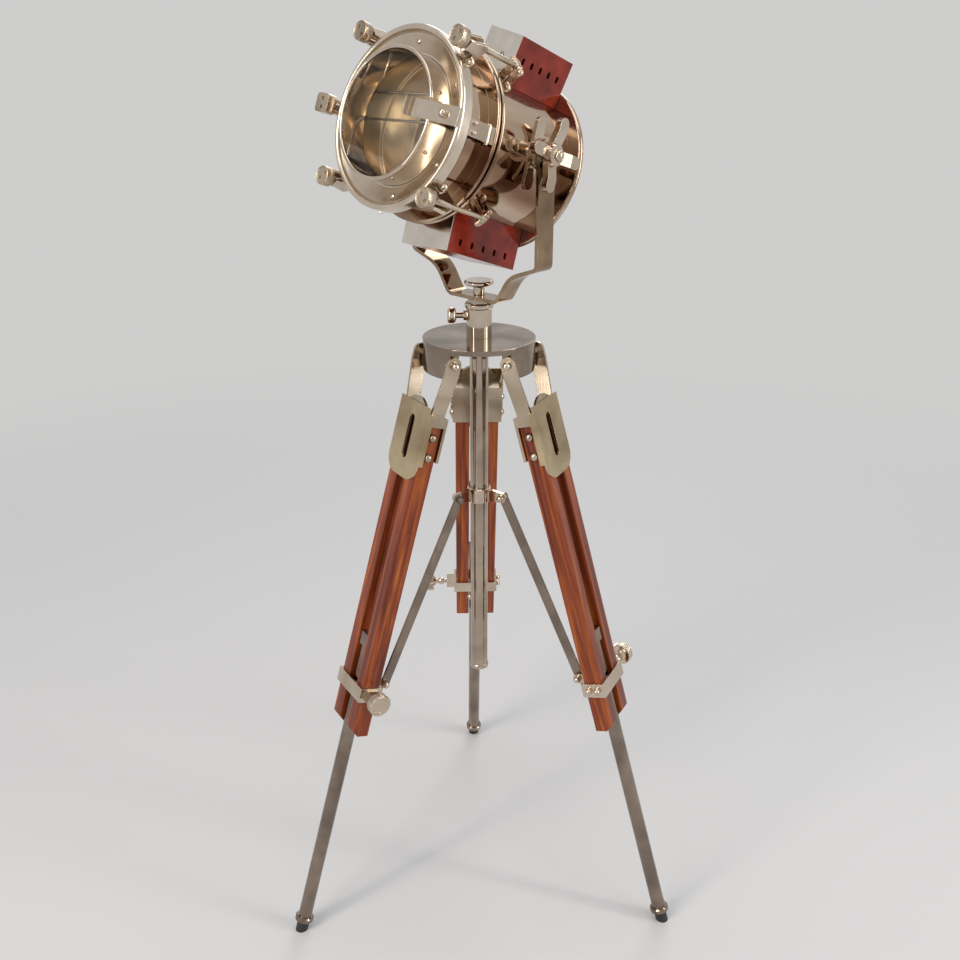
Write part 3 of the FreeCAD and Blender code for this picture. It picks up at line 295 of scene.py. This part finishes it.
def span(tree, value, low, high, from_low=0.3, from_high=0.7):
    """A value's range spread over another range. The usual one is most of a noise."""
    node = tree.nodes.new("ShaderNodeMapRange")
    node.inputs["From Min"].default_value = from_low
    node.inputs["From Max"].default_value = from_high
    node.inputs["To Min"].default_value = low
    node.inputs["To Max"].default_value = high
    tree.links.new(value, node.inputs["Value"])
    return node.outputs["Result"]


def bump(tree, shader, height, strength, distance=0.0002, edge=0.0):
    """Fine relief, and where edge is given, edges that catch light as if rounded by that radius."""
    node = tree.nodes.new("ShaderNodeBump")
    if edge:
        rounded = tree.nodes.new("ShaderNodeBevel")
        rounded.samples = 6
        rounded.inputs["Radius"].default_value = edge
        tree.links.new(rounded.outputs["Normal"], node.inputs["Normal"])
    node.inputs["Strength"].default_value = strength
    node.inputs["Distance"].default_value = distance
    tree.links.new(height, node.inputs["Height"])
    tree.links.new(node.outputs["Normal"], shader.inputs["Normal"])


# %% [markdown]
# ## Nickel and its cousins
# The lamp is plated in warm nickel. Polished nickel has a low roughness that varies a little with haze, while
# the satin castings are rougher and show fine lines. One function makes them all, from two tones, a range of
# roughness and how the fine lines are stretched. The yoke and the top plate get darker copies of the same
# nickel, as painted dark reflections.


# %% Plated metal
def plated_metal(name, light, dark, roughness, place=column_place, lines=(1, 1, 1), line_scale=900.0,
                 line_depth=0.05, edge=0.35 * mm):
    """Metal between two tones, with fine lines drawn out along a place's own axes."""
    material, tree, shader = new_material(name)
    own = own_coordinates(tree, place)
    haze = noise(tree, own, 26.0, detail=4.0, distortion=0.4)
    marks = noise(tree, stretched(tree, own, lines), line_scale, detail=2.0)
    tree.links.new(ramp(tree, haze, [(0.32, dark), (0.68, light)]), shader.inputs["Base Color"])
    tree.links.new(span(tree, haze, *roughness), shader.inputs["Roughness"])
    shader.inputs["Metallic"].default_value = 1.0
    bump(tree, shader, marks, line_depth, edge=edge)
    return material


polished_nickel = plated_metal("polished_nickel", (0.70, 0.60, 0.49), (0.52, 0.42, 0.32), (0.04, 0.11))
# The yoke is the same nickel, darkened to paint in the dark reflections its faces show.
yoke_nickel_painted_dark = plated_metal("yoke_nickel_painted_dark", (0.47, 0.34, 0.22), (0.23, 0.155, 0.095), (0.05, 0.13),
                           column_place, (1, 1, 0.3), 600.0, 0.04)
bezel_nickel = plated_metal("bezel_nickel", (0.76, 0.67, 0.56), (0.60, 0.50, 0.40), (0.15, 0.25),
                            head_place, (1, 0.2, 0.2), 700.0, 0.08)
satin_nickel = plated_metal("satin_nickel", (0.62, 0.52, 0.40), (0.37, 0.29, 0.21), (0.16, 0.29),
                            column_place, (1, 1, 0.06), 900.0, 0.12)
shield_nickel = plated_metal("shield_nickel", (0.62, 0.50, 0.31), (0.36, 0.27, 0.16), (0.12, 0.25),
                             column_place, (1, 1, 0.05), 800.0, 0.12)
column_nickel = plated_metal("column_nickel", (0.56, 0.47, 0.38), (0.32, 0.25, 0.19), (0.05, 0.13),
                             column_place, (1, 1, 0.04), 700.0, 0.05)
dark_tube = plated_metal("dark_tube", (0.34, 0.27, 0.22), (0.17, 0.135, 0.11), (0.06, 0.15),
                         column_place, (1, 1, 0.04), 700.0, 0.05)
# The top plate is the same nickel, darkened to paint in the dark reflections of its polished faces.
plate_nickel_painted_dark = plated_metal("plate_nickel_painted_dark", (0.40, 0.32, 0.25), (0.20, 0.155, 0.12), (0.04, 0.11),
                            column_place, (1, 1, 0.1), 700.0, 0.04, edge=0.8 * mm)
cover_nickel = plated_metal("cover_nickel", (0.62, 0.48, 0.36), (0.36, 0.24, 0.16), (0.06, 0.14),
                            head_place, (1, 0.25, 0.25), 500.0, 0.04, edge=0.6 * mm)
mirror_metal = plated_metal("mirror_metal", (0.99, 0.87, 0.70), (0.93, 0.78, 0.58), (0.10, 0.18),
                            head_place, (0.05, 1, 1), 600.0, 0.02)
print("metals:", len(bpy.data.materials))

# %% [markdown]
# ## The drum's skin
# The drum and barrel are rolled from thin plate and polished warm nickel outside, with painted reflections
# laid on
# it: dark brown and pale bands drawn out along the axis. Their inner side is left bright to throw light
# forward.
# Which side a point is on shows in its distance from the axis.


# %% Drum skin, painted reflection bands outside and bright inside
def drum_skin(name, inside_radius):
    """Warm nickel with painted reflections as dark and pale bands along the axis, but bright metal nearer the
    light's axis than the inside radius.
    """
    material, tree, shader = new_material(name)
    own = own_coordinates(tree, head_place)
    flat = stretched(tree, own, (0, 1, 1))
    from_axis = tree.nodes.new("ShaderNodeVectorMath")
    from_axis.operation = "LENGTH"
    tree.links.new(flat, from_axis.inputs[0])
    outside = span(tree, from_axis.outputs["Value"], 0.0, 1.0,
                   inside_radius - 0.4 * mm, inside_radius + 0.2 * mm)
    haze = noise(tree, stretched(tree, own, (0.25, 1, 1)), 17.0, detail=3.0, distortion=0.6)
    # Painted reflections: the stretched noise lays dark brown and pale bands along the axis over the warm
    # nickel tone.
    nickel_tone_and_painted_reflections = ramp(tree, haze, [(0.30, (0.20, 0.105, 0.065)), (0.46, (0.38, 0.245, 0.165)),
                             (0.58, (0.58, 0.44, 0.32)), (0.74, (0.66, 0.54, 0.42))])
    bright = ramp(tree, haze, [(0.3, (0.92, 0.76, 0.56)), (0.7, (0.98, 0.86, 0.69))])
    tree.links.new(mixed(tree, outside, bright, nickel_tone_and_painted_reflections), shader.inputs["Base Color"])
    shader.inputs["Metallic"].default_value = 1.0
    tree.links.new(span(tree, outside, 0.22, 0.07, 0.0, 1.0), shader.inputs["Roughness"])
    rolling_lines = noise(tree, stretched(tree, own, (0.03, 1, 1)), 500.0, detail=2.0)
    bump(tree, shader, rolling_lines, 0.03, edge=0.4 * mm)
    return material


drum_nickel = drum_skin("drum_nickel", 54.6 * mm)
barrel_nickel = drum_skin("barrel_nickel", 56.6 * mm)

# %% [markdown]
# ## Mahogany
# The slats are glossy mahogany. Its grain runs along the slat, so the noise is drawn out that way: the broad
# bands of light and dark about twenty times, and the fine pores fifty times. The lighter bands are grain
# brightened into a painted orange highlight. A clear coat over slightly rough wood gives the varnish.


# %% Wood
def mahogany(name, place):
    """Varnished wood with its grain along a leg, whose lighter grain colours are also a painted orange
    highlight.
    """
    material, tree, shader = new_material(name)
    own = own_coordinates(tree, place)
    bands = noise(tree, stretched(tree, own, (1, 1, 0.045)), 120.0, detail=5.0, rough=0.6, distortion=1.2)
    pores = noise(tree, stretched(tree, own, (1, 1, 0.02)), 1500.0, detail=2.0)
    # Painted highlight: the two lighter stops are grain colour raised to orange, as highlights along the
    # slats.
    colour = ramp(tree, bands, [(0.28, (0.060, 0.008, 0.002)), (0.43, (0.19, 0.027, 0.004)),
                                (0.58, (0.37, 0.078, 0.008)), (0.74, (0.56, 0.170, 0.022))])
    dark_pores = ramp(tree, pores, [(0.35, (0.45, 0.38, 0.35)), (0.55, (1, 1, 1))])
    tree.links.new(mixed(tree, 0.55, colour, dark_pores, "MULTIPLY"), shader.inputs["Base Color"])
    tree.links.new(span(tree, bands, 0.30, 0.44), shader.inputs["Roughness"])
    shader.inputs["Specular IOR Level"].default_value = 0.25
    shader.inputs["Coat Weight"].default_value = 0.35
    shader.inputs["Coat Roughness"].default_value = 0.06
    bump(tree, shader, pores, 0.12)
    return material


woods = {leg: mahogany("mahogany_" + leg, leg_place(azimuth)) for leg, azimuth in leg_azimuths.items()}
print("woods:", sorted(woods))

# %% [markdown]
# ## Vent boxes
# Each vent box has a bright metal front and dark red lacquered sides. Both belong to one solid, so the finish
# is chosen by how far along the light's axis a point lies: the last millimetre before the front is metal.


# %% Lacquer with a metal front
def vent_finish(name, front):
    """Red lacquer, but bright metal from just behind the front on."""
    material, tree, shader = new_material(name)
    own = own_coordinates(tree, head_place)
    apart = tree.nodes.new("ShaderNodeSeparateXYZ")
    tree.links.new(own, apart.inputs["Vector"])
    at_front = span(tree, apart.outputs["X"], 0.0, 1.0, front - 0.9 * mm, front - 0.7 * mm)
    mottle = noise(tree, own, 60.0, detail=4.0)
    lacquer = ramp(tree, mottle, [(0.3, (0.130, 0.008, 0.003)), (0.7, (0.30, 0.024, 0.007))])
    metal = ramp(tree, mottle, [(0.3, (0.66, 0.60, 0.52)), (0.7, (0.78, 0.72, 0.64))])
    tree.links.new(mixed(tree, at_front, lacquer, metal), shader.inputs["Base Color"])
    tree.links.new(at_front, shader.inputs["Metallic"])
    tree.links.new(span(tree, mottle, 0.10, 0.20), shader.inputs["Roughness"])
    bump(tree, shader, noise(tree, own, 500.0, detail=2.0), 0.05)
    return material


top_vent_finish = vent_finish("top_vent_finish", 19.0 * mm)
bottom_vent_finish = vent_finish("bottom_vent_finish", 36.0 * mm)

# %% [markdown]
# ## Glass, porcelain and rubber
# The lens is clear glass with a faint waviness, as cheap pressed glass has. The lamp holder is glazed
# porcelain, and the feet are dark rubber, matt with a fine moulded texture.


# %% Glass, porcelain and rubber
def clear_glass(name, roughness, wave):
    """Clear glass with a faint waviness."""
    material, tree, shader = new_material(name)
    own = own_coordinates(tree, head_place)
    shader.inputs["Base Color"].default_value = (0.97, 0.97, 0.95, 1)
    shader.inputs["Transmission Weight"].default_value = 1.0
    shader.inputs["IOR"].default_value = 1.46
    tree.links.new(span(tree, noise(tree, own, 40.0), *roughness), shader.inputs["Roughness"])
    bump(tree, shader, noise(tree, own, 30.0), wave)
    return material


def moulded(name, light, dark, roughness, grain, depth):
    """A plain moulded or glazed stuff between two tones, with an even grain."""
    material, tree, shader = new_material(name)
    own = own_coordinates(tree, column_place)
    tone = noise(tree, own, 90.0, detail=3.0)
    tree.links.new(ramp(tree, tone, [(0.3, dark), (0.7, light)]), shader.inputs["Base Color"])
    tree.links.new(span(tree, tone, *roughness), shader.inputs["Roughness"])
    bump(tree, shader, noise(tree, own, grain, detail=2.0), depth)
    return material


lens_glass = clear_glass("lens_glass", (0.0, 0.02), 0.04)
bulb_glass = clear_glass("bulb_glass", (0.02, 0.06), 0.02)
porcelain = moulded("porcelain", (0.80, 0.77, 0.70), (0.72, 0.68, 0.60), (0.15, 0.25), 300.0, 0.03)
rubber = moulded("foot_rubber", (0.040, 0.038, 0.036), (0.018, 0.017, 0.016), (0.55, 0.75), 1400.0, 0.2)

# %% [markdown]
# ## Dressing the solids
# A solid whose shape is right keeps its mesh and only gets a finish, through its material slots. The last
# line prints any solid that was forgotten.


# %% Give each solid its finish
def dress(material, *names):
    """Give the named solids a finish."""
    for name in names:
        thing = nodes[name]
        if not thing.material_slots:
            thing.data.materials.append(material)
        for slot in thing.material_slots:
            slot.material = material


dress(plate_nickel_painted_dark, "top_plate")
dress(polished_nickel, "column_sleeve", "sleeve_screw", "pan_knob", "hinge_bolts", "trunnions",
      "tilt_nut_right", "tilt_nut_left", "hood", "hood_clip", "bezel_hinge", "cable_gland", "brace_hub")
dress(yoke_nickel_painted_dark, "yoke")
dress(column_nickel, "column")
dress(drum_nickel, "drum")
dress(cover_nickel, "rear_cover")
dress(barrel_nickel, "front_barrel")
dress(bezel_nickel, "bezel")
dress(lens_glass, "lens")
dress(mirror_metal, "reflector")
dress(porcelain, "lamp_holder")
dress(bulb_glass, "bulb")
dress(top_vent_finish, "top_vent_box")
dress(bottom_vent_finish, "bottom_vent_box")
for number in range(1, 6):
    dress(satin_nickel, f"swing_bolt_{number}", f"swing_nut_{number}")
for leg in leg_azimuths:
    dress(woods[leg], f"leg_{leg}_slats")
    dress(satin_nickel, f"leg_{leg}_fork")
    dress(shield_nickel, f"leg_{leg}_shield")
    dress(polished_nickel, f"leg_{leg}_clamp", f"leg_{leg}_clamp_knob")
    dress(dark_tube, f"leg_{leg}_tube", f"leg_{leg}_brace")
    dress(rubber, f"leg_{leg}_foot")
bare = [name for name, thing in nodes.items() if not thing.material_slots]
print("solids without a finish:", bare)

# %% [markdown]
# ## Turned pieces
# Most small fittings come off a lathe: half their outline is drawn once, and spin carries it round the axis.
# The doubles where the turn closes are merged, and the normals are then made to point outwards.


# %% Lathe and finishing helpers
def lathe(profile, steps=64):
    """Turn (along, radius) points in millimetres round the X axis."""
    mesh = bmesh.new()
    points = [mesh.verts.new((along * mm, 0, radius * mm)) for along, radius in profile]
    edges = [mesh.edges.new(pair) for pair in zip(points, points[1:])]
    bmesh.ops.spin(mesh, geom=points + edges, cent=(0, 0, 0), axis=(1, 0, 0), dvec=(0, 0, 0),
                   angle=2 * math.pi, steps=steps, use_merge=True)
    bmesh.ops.remove_doubles(mesh, verts=mesh.verts, dist=1e-6)
    bmesh.ops.recalc_face_normals(mesh, faces=mesh.faces)
    return mesh


def set_in_place(mesh, place):
    """The same mesh, moved by a matrix."""
    bmesh.ops.transform(mesh, matrix=place, verts=mesh.verts)
    return mesh


def finished(name, mesh, body, material, sharp=32):
    """A piece at the origin, with its place in its mesh, riding on a body."""
    data = bpy.data.meshes.new(name)
    mesh.to_mesh(data)
    mesh.free()
    data.shade_smooth()
    data.set_sharp_from_angle(angle=math.radians(sharp))
    data.materials.append(material)
    thing = bpy.data.objects.new(name, data)
    scene.collection.objects.link(thing)
    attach(thing, body)
    return thing


def gathered(parts):
    """Several meshes as one."""
    whole = bmesh.new()
    for part in parts:
        data = bpy.data.meshes.new("part")
        part.to_mesh(data)
        part.free()
        whole.from_mesh(data)
        bpy.data.meshes.remove(data)
    return whole


# %% [markdown]
# ## Screws in the glass ring
# Six small round-headed screws hold the glass ring. A head is a low dome, turned from a few points. Its slot
# is really cut, so that it also holds when lit from the side: the dome is bisected on both sides of the slot,
# and the strip between is pushed down. A small stud stands out of the ring's lowest point.


# %% Slotted screw heads
def screw_head(radius, height, turn=0.0):
    """A slotted round head that stands on x = 0 and faces +X, in millimetres."""
    mesh = lathe([(-0.6, 0), (-0.6, radius), (0, radius), (height * 0.55, radius * 0.86),
                  (height * 0.88, radius * 0.52), (height, radius * 0.2), (height, 0)], 24)
    half_slot = radius * 0.16
    slot_depth = height * 0.35
    for side in (1, -1):
        bmesh.ops.bisect_plane(mesh, geom=mesh.verts[:] + mesh.edges[:] + mesh.faces[:],
                               plane_co=(0, side * half_slot * mm, 0), plane_no=(0, 1, 0))
    slot_top = [face for face in mesh.faces
                if abs(face.calc_center_median().y) < half_slot * 0.9 * mm and face.normal.x > 0.3]
    sunk = bmesh.ops.extrude_face_region(mesh, geom=slot_top)
    bmesh.ops.translate(mesh, verts=[v for v in sunk["geom"] if isinstance(v, bmesh.types.BMVert)],
                        vec=(-slot_depth * mm, 0, 0))
    bmesh.ops.delete(mesh, geom=[face for face in slot_top if face.is_valid], context="FACES_ONLY")
    bmesh.ops.recalc_face_normals(mesh, faces=mesh.faces)
    return set_in_place(mesh, Matrix.Rotation(turn, 4, "X"))


def round_axis(radius, along, degrees):
    """The place of something that sits off the light's axis and faces along it."""
    return (head_place @ Matrix.Rotation(math.radians(degrees), 4, "X")
            @ Matrix.Translation((along * mm, radius * mm, 0)))


ring_screw_circle = 55.0
ring_screw_face = 84.6
ring_screw_angles = (88, 28, -32, -81, -150, 149)
ring_stud_angle = 270
ring_stud_along = 85
ring_radius = 66.0
screws = []
for index, degrees in enumerate(ring_screw_angles):
    place = round_axis(ring_screw_circle, ring_screw_face, degrees)
    screws.append(set_in_place(screw_head(2.2, 1.5, index * 0.7), place))
stud = lathe([(-0.6, 0), (-0.6, 1.3), (1.4, 1.3), (1.9, 0.9), (2.0, 0)], 20)
facing_out = round_axis(ring_radius, ring_stud_along, ring_stud_angle) @ Matrix.Rotation(math.pi / 2, 4, "Z")
set_in_place(stud, facing_out)
finished("glass_ring_screws", gathered([*screws, stud]), "head", polished_nickel)
print("glass ring screws:", len(screws))

# %% [markdown]
# ## Guard rods behind the glass
# Two thin rods cross the barrel behind the glass. Each ends in a small collar against the barrel's wall, so a
# rod is one turned profile, made along X and then laid across the light.


# %% Guard rods
rod_along = 71
rod_heights = (22.0, 2.0)
rod_circle = 55.3            # both ends of a rod lie on it, just inside the barrel's wall
rods = []
for up in rod_heights:
    reach = math.sqrt(rod_circle ** 2 - up ** 2)
    profile = [(-reach, 0), (-reach, 2.4), (-reach + 2.6, 2.4), (-reach + 3.2, 1.0),
               (reach - 3.2, 1.0), (reach - 2.6, 2.4), (reach, 2.4), (reach, 0)]
    rod = lathe(profile, 24)
    across = (head_place @ Matrix.Translation((rod_along * mm, 0, up * mm))
              @ Matrix.Rotation(math.pi / 2, 4, "Z"))
    rods.append(set_in_place(rod, across))
finished("guard_rods", gathered(rods), "head", polished_nickel)
print("guard rods:", len(rods))

# %% [markdown]
# ## The bulb
# A bulb is a blown glass shell: the outline is turned once, and solidify then gives the shell its thin wall
# inwards. The filament is a short coil: a small ring of points is carried round and along at the same time,
# which is what spin does when it also gets a step along the axis.

# %% Bulb and filament
bulb_middle = 16
bulb_radius = 19.8
outline = [(-13.5, 0), (-13.5, 8.8), (-6.0, 8.8), (-2.0, 10.4)]
for degrees in range(48, 180, 11):
    angle = math.radians(degrees)
    outline.append((bulb_middle - bulb_radius * math.cos(angle), bulb_radius * math.sin(angle)))
outline.append((bulb_middle + bulb_radius, 0))
shell = lathe(outline, 48)
bmesh.ops.solidify(shell, geom=shell.faces[:], thickness=0.7 * mm)
bulb = finished("glass_bulb", set_in_place(shell, head_place), "head", bulb_glass)
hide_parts("bulb")

wire_radius = 0.35 * mm
wire_start = Vector((0, 2.2 * mm, -7 * mm))
coil_turns = 8
coil_steps = 160
coil_along = 18
coil = bmesh.new()
ring = bmesh.ops.create_circle(coil, segments=8, radius=wire_radius,
                               matrix=Matrix.Translation(wire_start) @ Matrix.Rotation(math.pi / 2, 4, "X"))
ring_edges = list({edge for vert in ring["verts"] for edge in vert.link_edges})
bmesh.ops.rotate(coil, verts=coil.verts, cent=wire_start, matrix=Matrix.Rotation(math.pi / 2, 3, "Z"))
bmesh.ops.spin(coil, geom=ring["verts"] + ring_edges, cent=(0, 0, 0), axis=(0, 0, 1),
               dvec=(0, 0, 0.09 * mm), angle=2 * math.pi * coil_turns, steps=coil_steps)
bmesh.ops.holes_fill(coil, edges=[edge for edge in coil.edges if edge.is_boundary], sides=10)
bmesh.ops.recalc_face_normals(coil, faces=coil.faces)
set_in_place(coil, Matrix.Translation((coil_along * mm, 0, 0)) @ Matrix.Rotation(math.pi / 2, 4, "X"))
posts = [set_in_place(lathe([(-12, 0), (-12, 0.4), (coil_along, 0.4), (coil_along, 0)], 10),
                      Matrix.Translation((0, side * 6.8 * mm, 2.0 * mm))) for side in (1, -1)]
stem = lathe([(-12, 0), (-12, 5.0), (-6, 3.2), (2, 2.4), (3, 3.0), (4, 0)], 24)
filament = gathered([coil, *posts, stem])
finished("filament", set_in_place(filament, head_place), "head", mirror_metal)
print("bulb outline points:", len(outline))

# %% [markdown]
# ## Rear cover screws
# Six screws round the rear cover's rim hold it to the drum. They use the same head as the glass ring's, only
# smaller, and face backwards.

# %% Rear cover screws
cover_screw_circle = 60.0
cover_screw_face = -48.9
cover_screws = []
for degrees in range(15, 375, 60):
    head = screw_head(2.0, 1.3, degrees * 0.03)
    facing_back = (round_axis(cover_screw_circle, cover_screw_face, degrees)
                   @ Matrix.Rotation(math.pi, 4, "Z"))
    cover_screws.append(set_in_place(head, facing_back))
finished("rear_cover_screws", gathered(cover_screws), "head", polished_nickel)
print("rear cover screws:", len(cover_screws))

# %% [markdown]
# ## Knurled hand knobs
# A knurled knob is turned first and then has grooves rolled into its rim. Here the lathe gets four steps for
# each tooth, and two of every four columns of the rim are pulled in towards the axis. The left leg's knob is
# screwed further in than the others, which leaves its shaft no room for a collar.


# %% Knurled knob
knurl_teeth = 36
columns_per_tooth = 4


def knurled(profile, rim, depth):
    """A turned piece whose rim, at the given radius and over it, is cut into teeth."""
    columns = knurl_teeth * columns_per_tooth
    mesh = lathe(profile, columns)
    valley = 1 - depth / rim
    turn = math.pi * 2 / columns
    for vert in mesh.verts:
        radius = math.hypot(vert.co.y, vert.co.z)
        column = round(math.atan2(vert.co.z, vert.co.y) / turn)
        if radius >= (rim - 0.05) * mm and column % columns_per_tooth in (0, 1):
            vert.co.y *= valley
            vert.co.z *= valley
    return mesh


clamp_along_leg = 300 * mm
knob_radius = 10.0
knob_places = {"rear": 48.0, "left": 37.5, "right": 48.0}
shaft = [(6.6, 0), (6.6, 2.5)]
collar = [(-15.0, 2.5), (-13.8, 3.4), (-12.0, 3.8), (-10.2, 3.4), (-9.0, 2.5)]
disc = [(-6.5, 2.5), (-6.5, 3.5), (-4.0, 5.5), (-4.0, 8.9), (-3.0, knob_radius), (0, knob_radius),
        (3.0, knob_radius), (4.0, 8.9), (4.0, 6.8), (3.3, 6.2), (3.3, 0)]
for leg, azimuth in leg_azimuths.items():
    middle = knob_places[leg]
    steps = disc if leg == "left" else collar + disc
    profile = shaft + [(middle + along, radius) for along, radius in steps]
    knob = knurled(profile, knob_radius, 0.45)
    along_y = (leg_place(azimuth) @ Matrix.Translation((0, 0, -clamp_along_leg))
               @ Matrix.Rotation(math.pi / 2, 4, "Z"))
    node = f"leg_{leg}_clamp_knob"
    piece = finished(f"leg_{leg}_knurled_knob", set_in_place(knob, along_y), body_of_node[node],
                     polished_nickel)
    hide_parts(node)
print("knurled knobs:", len(leg_azimuths))

# %% [markdown]
# ## Round nuts on the swing bolts
# Four of the glass ring's swing bolts carry round nuts with a raised rim and two small holes in the face, for
# a pin wrench. The body is turned, and the holes are then cut with a Boolean, whose result is kept as the
# mesh. The fifth bolt's nut is square, and its solid is already right.


# %% Nuts with two face holes
def cut_away(mesh, tools):
    """The mesh with other closed meshes cut out of it."""
    made = []
    for name, source in (("cut_body", mesh), ("cut_tools", tools)):
        data = bpy.data.meshes.new(name)
        source.to_mesh(data)
        source.free()
        thing = bpy.data.objects.new(name, data)
        scene.collection.objects.link(thing)
        made.append(thing)
    cutter = made[0].modifiers.new("cut", "BOOLEAN")
    cutter.operation = "DIFFERENCE"
    cutter.solver = "EXACT"
    cutter.object = made[1]
    cut = bpy.data.meshes.new_from_object(made[0].evaluated_get(bpy.context.evaluated_depsgraph_get()))
    result = bmesh.new()
    result.from_mesh(cut)
    for thing in made:
        bpy.data.objects.remove(thing)
    bpy.data.meshes.remove(cut)
    return result


swing_angles = (46.0, 130.0, 176.0, 219.0, 315.0)
square_nut_angle = 176.0
swing_circle = 76.0
nut_back = 88.7
nut_radius = 7.2
nut_profile = [(8.0, 0), (8.0, 2.06), (0, 2.06), (0, 4.0), (2.2, 4.0), (2.2, 6.5), (2.9, nut_radius),
               (6.1, nut_radius), (9.3, nut_radius), (9.85, 6.95), (10.0, 6.6), (9.85, 6.25), (9.3, 6.0),
               (9.3, 0)]
pin_profile = [(8.2, 0), (8.2, 1.45), (12, 1.45), (12, 0)]
pin_offset = 3.3 * mm
for number, degrees in enumerate(swing_angles, 1):
    if degrees == square_nut_angle:
        continue
    pins = [set_in_place(lathe(pin_profile, 20), Matrix.Translation((0, side * pin_offset, 0)))
            for side in (1, -1)]
    nut = cut_away(knurled(nut_profile, nut_radius, 0.18), gathered(pins))
    place = round_axis(swing_circle, nut_back, degrees)
    node = f"swing_nut_{number}"
    piece = finished(f"round_nut_{number}", set_in_place(nut, place), body_of_node[node], satin_nickel)
    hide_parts(node)
print("round nuts:", len(swing_angles) - 1)
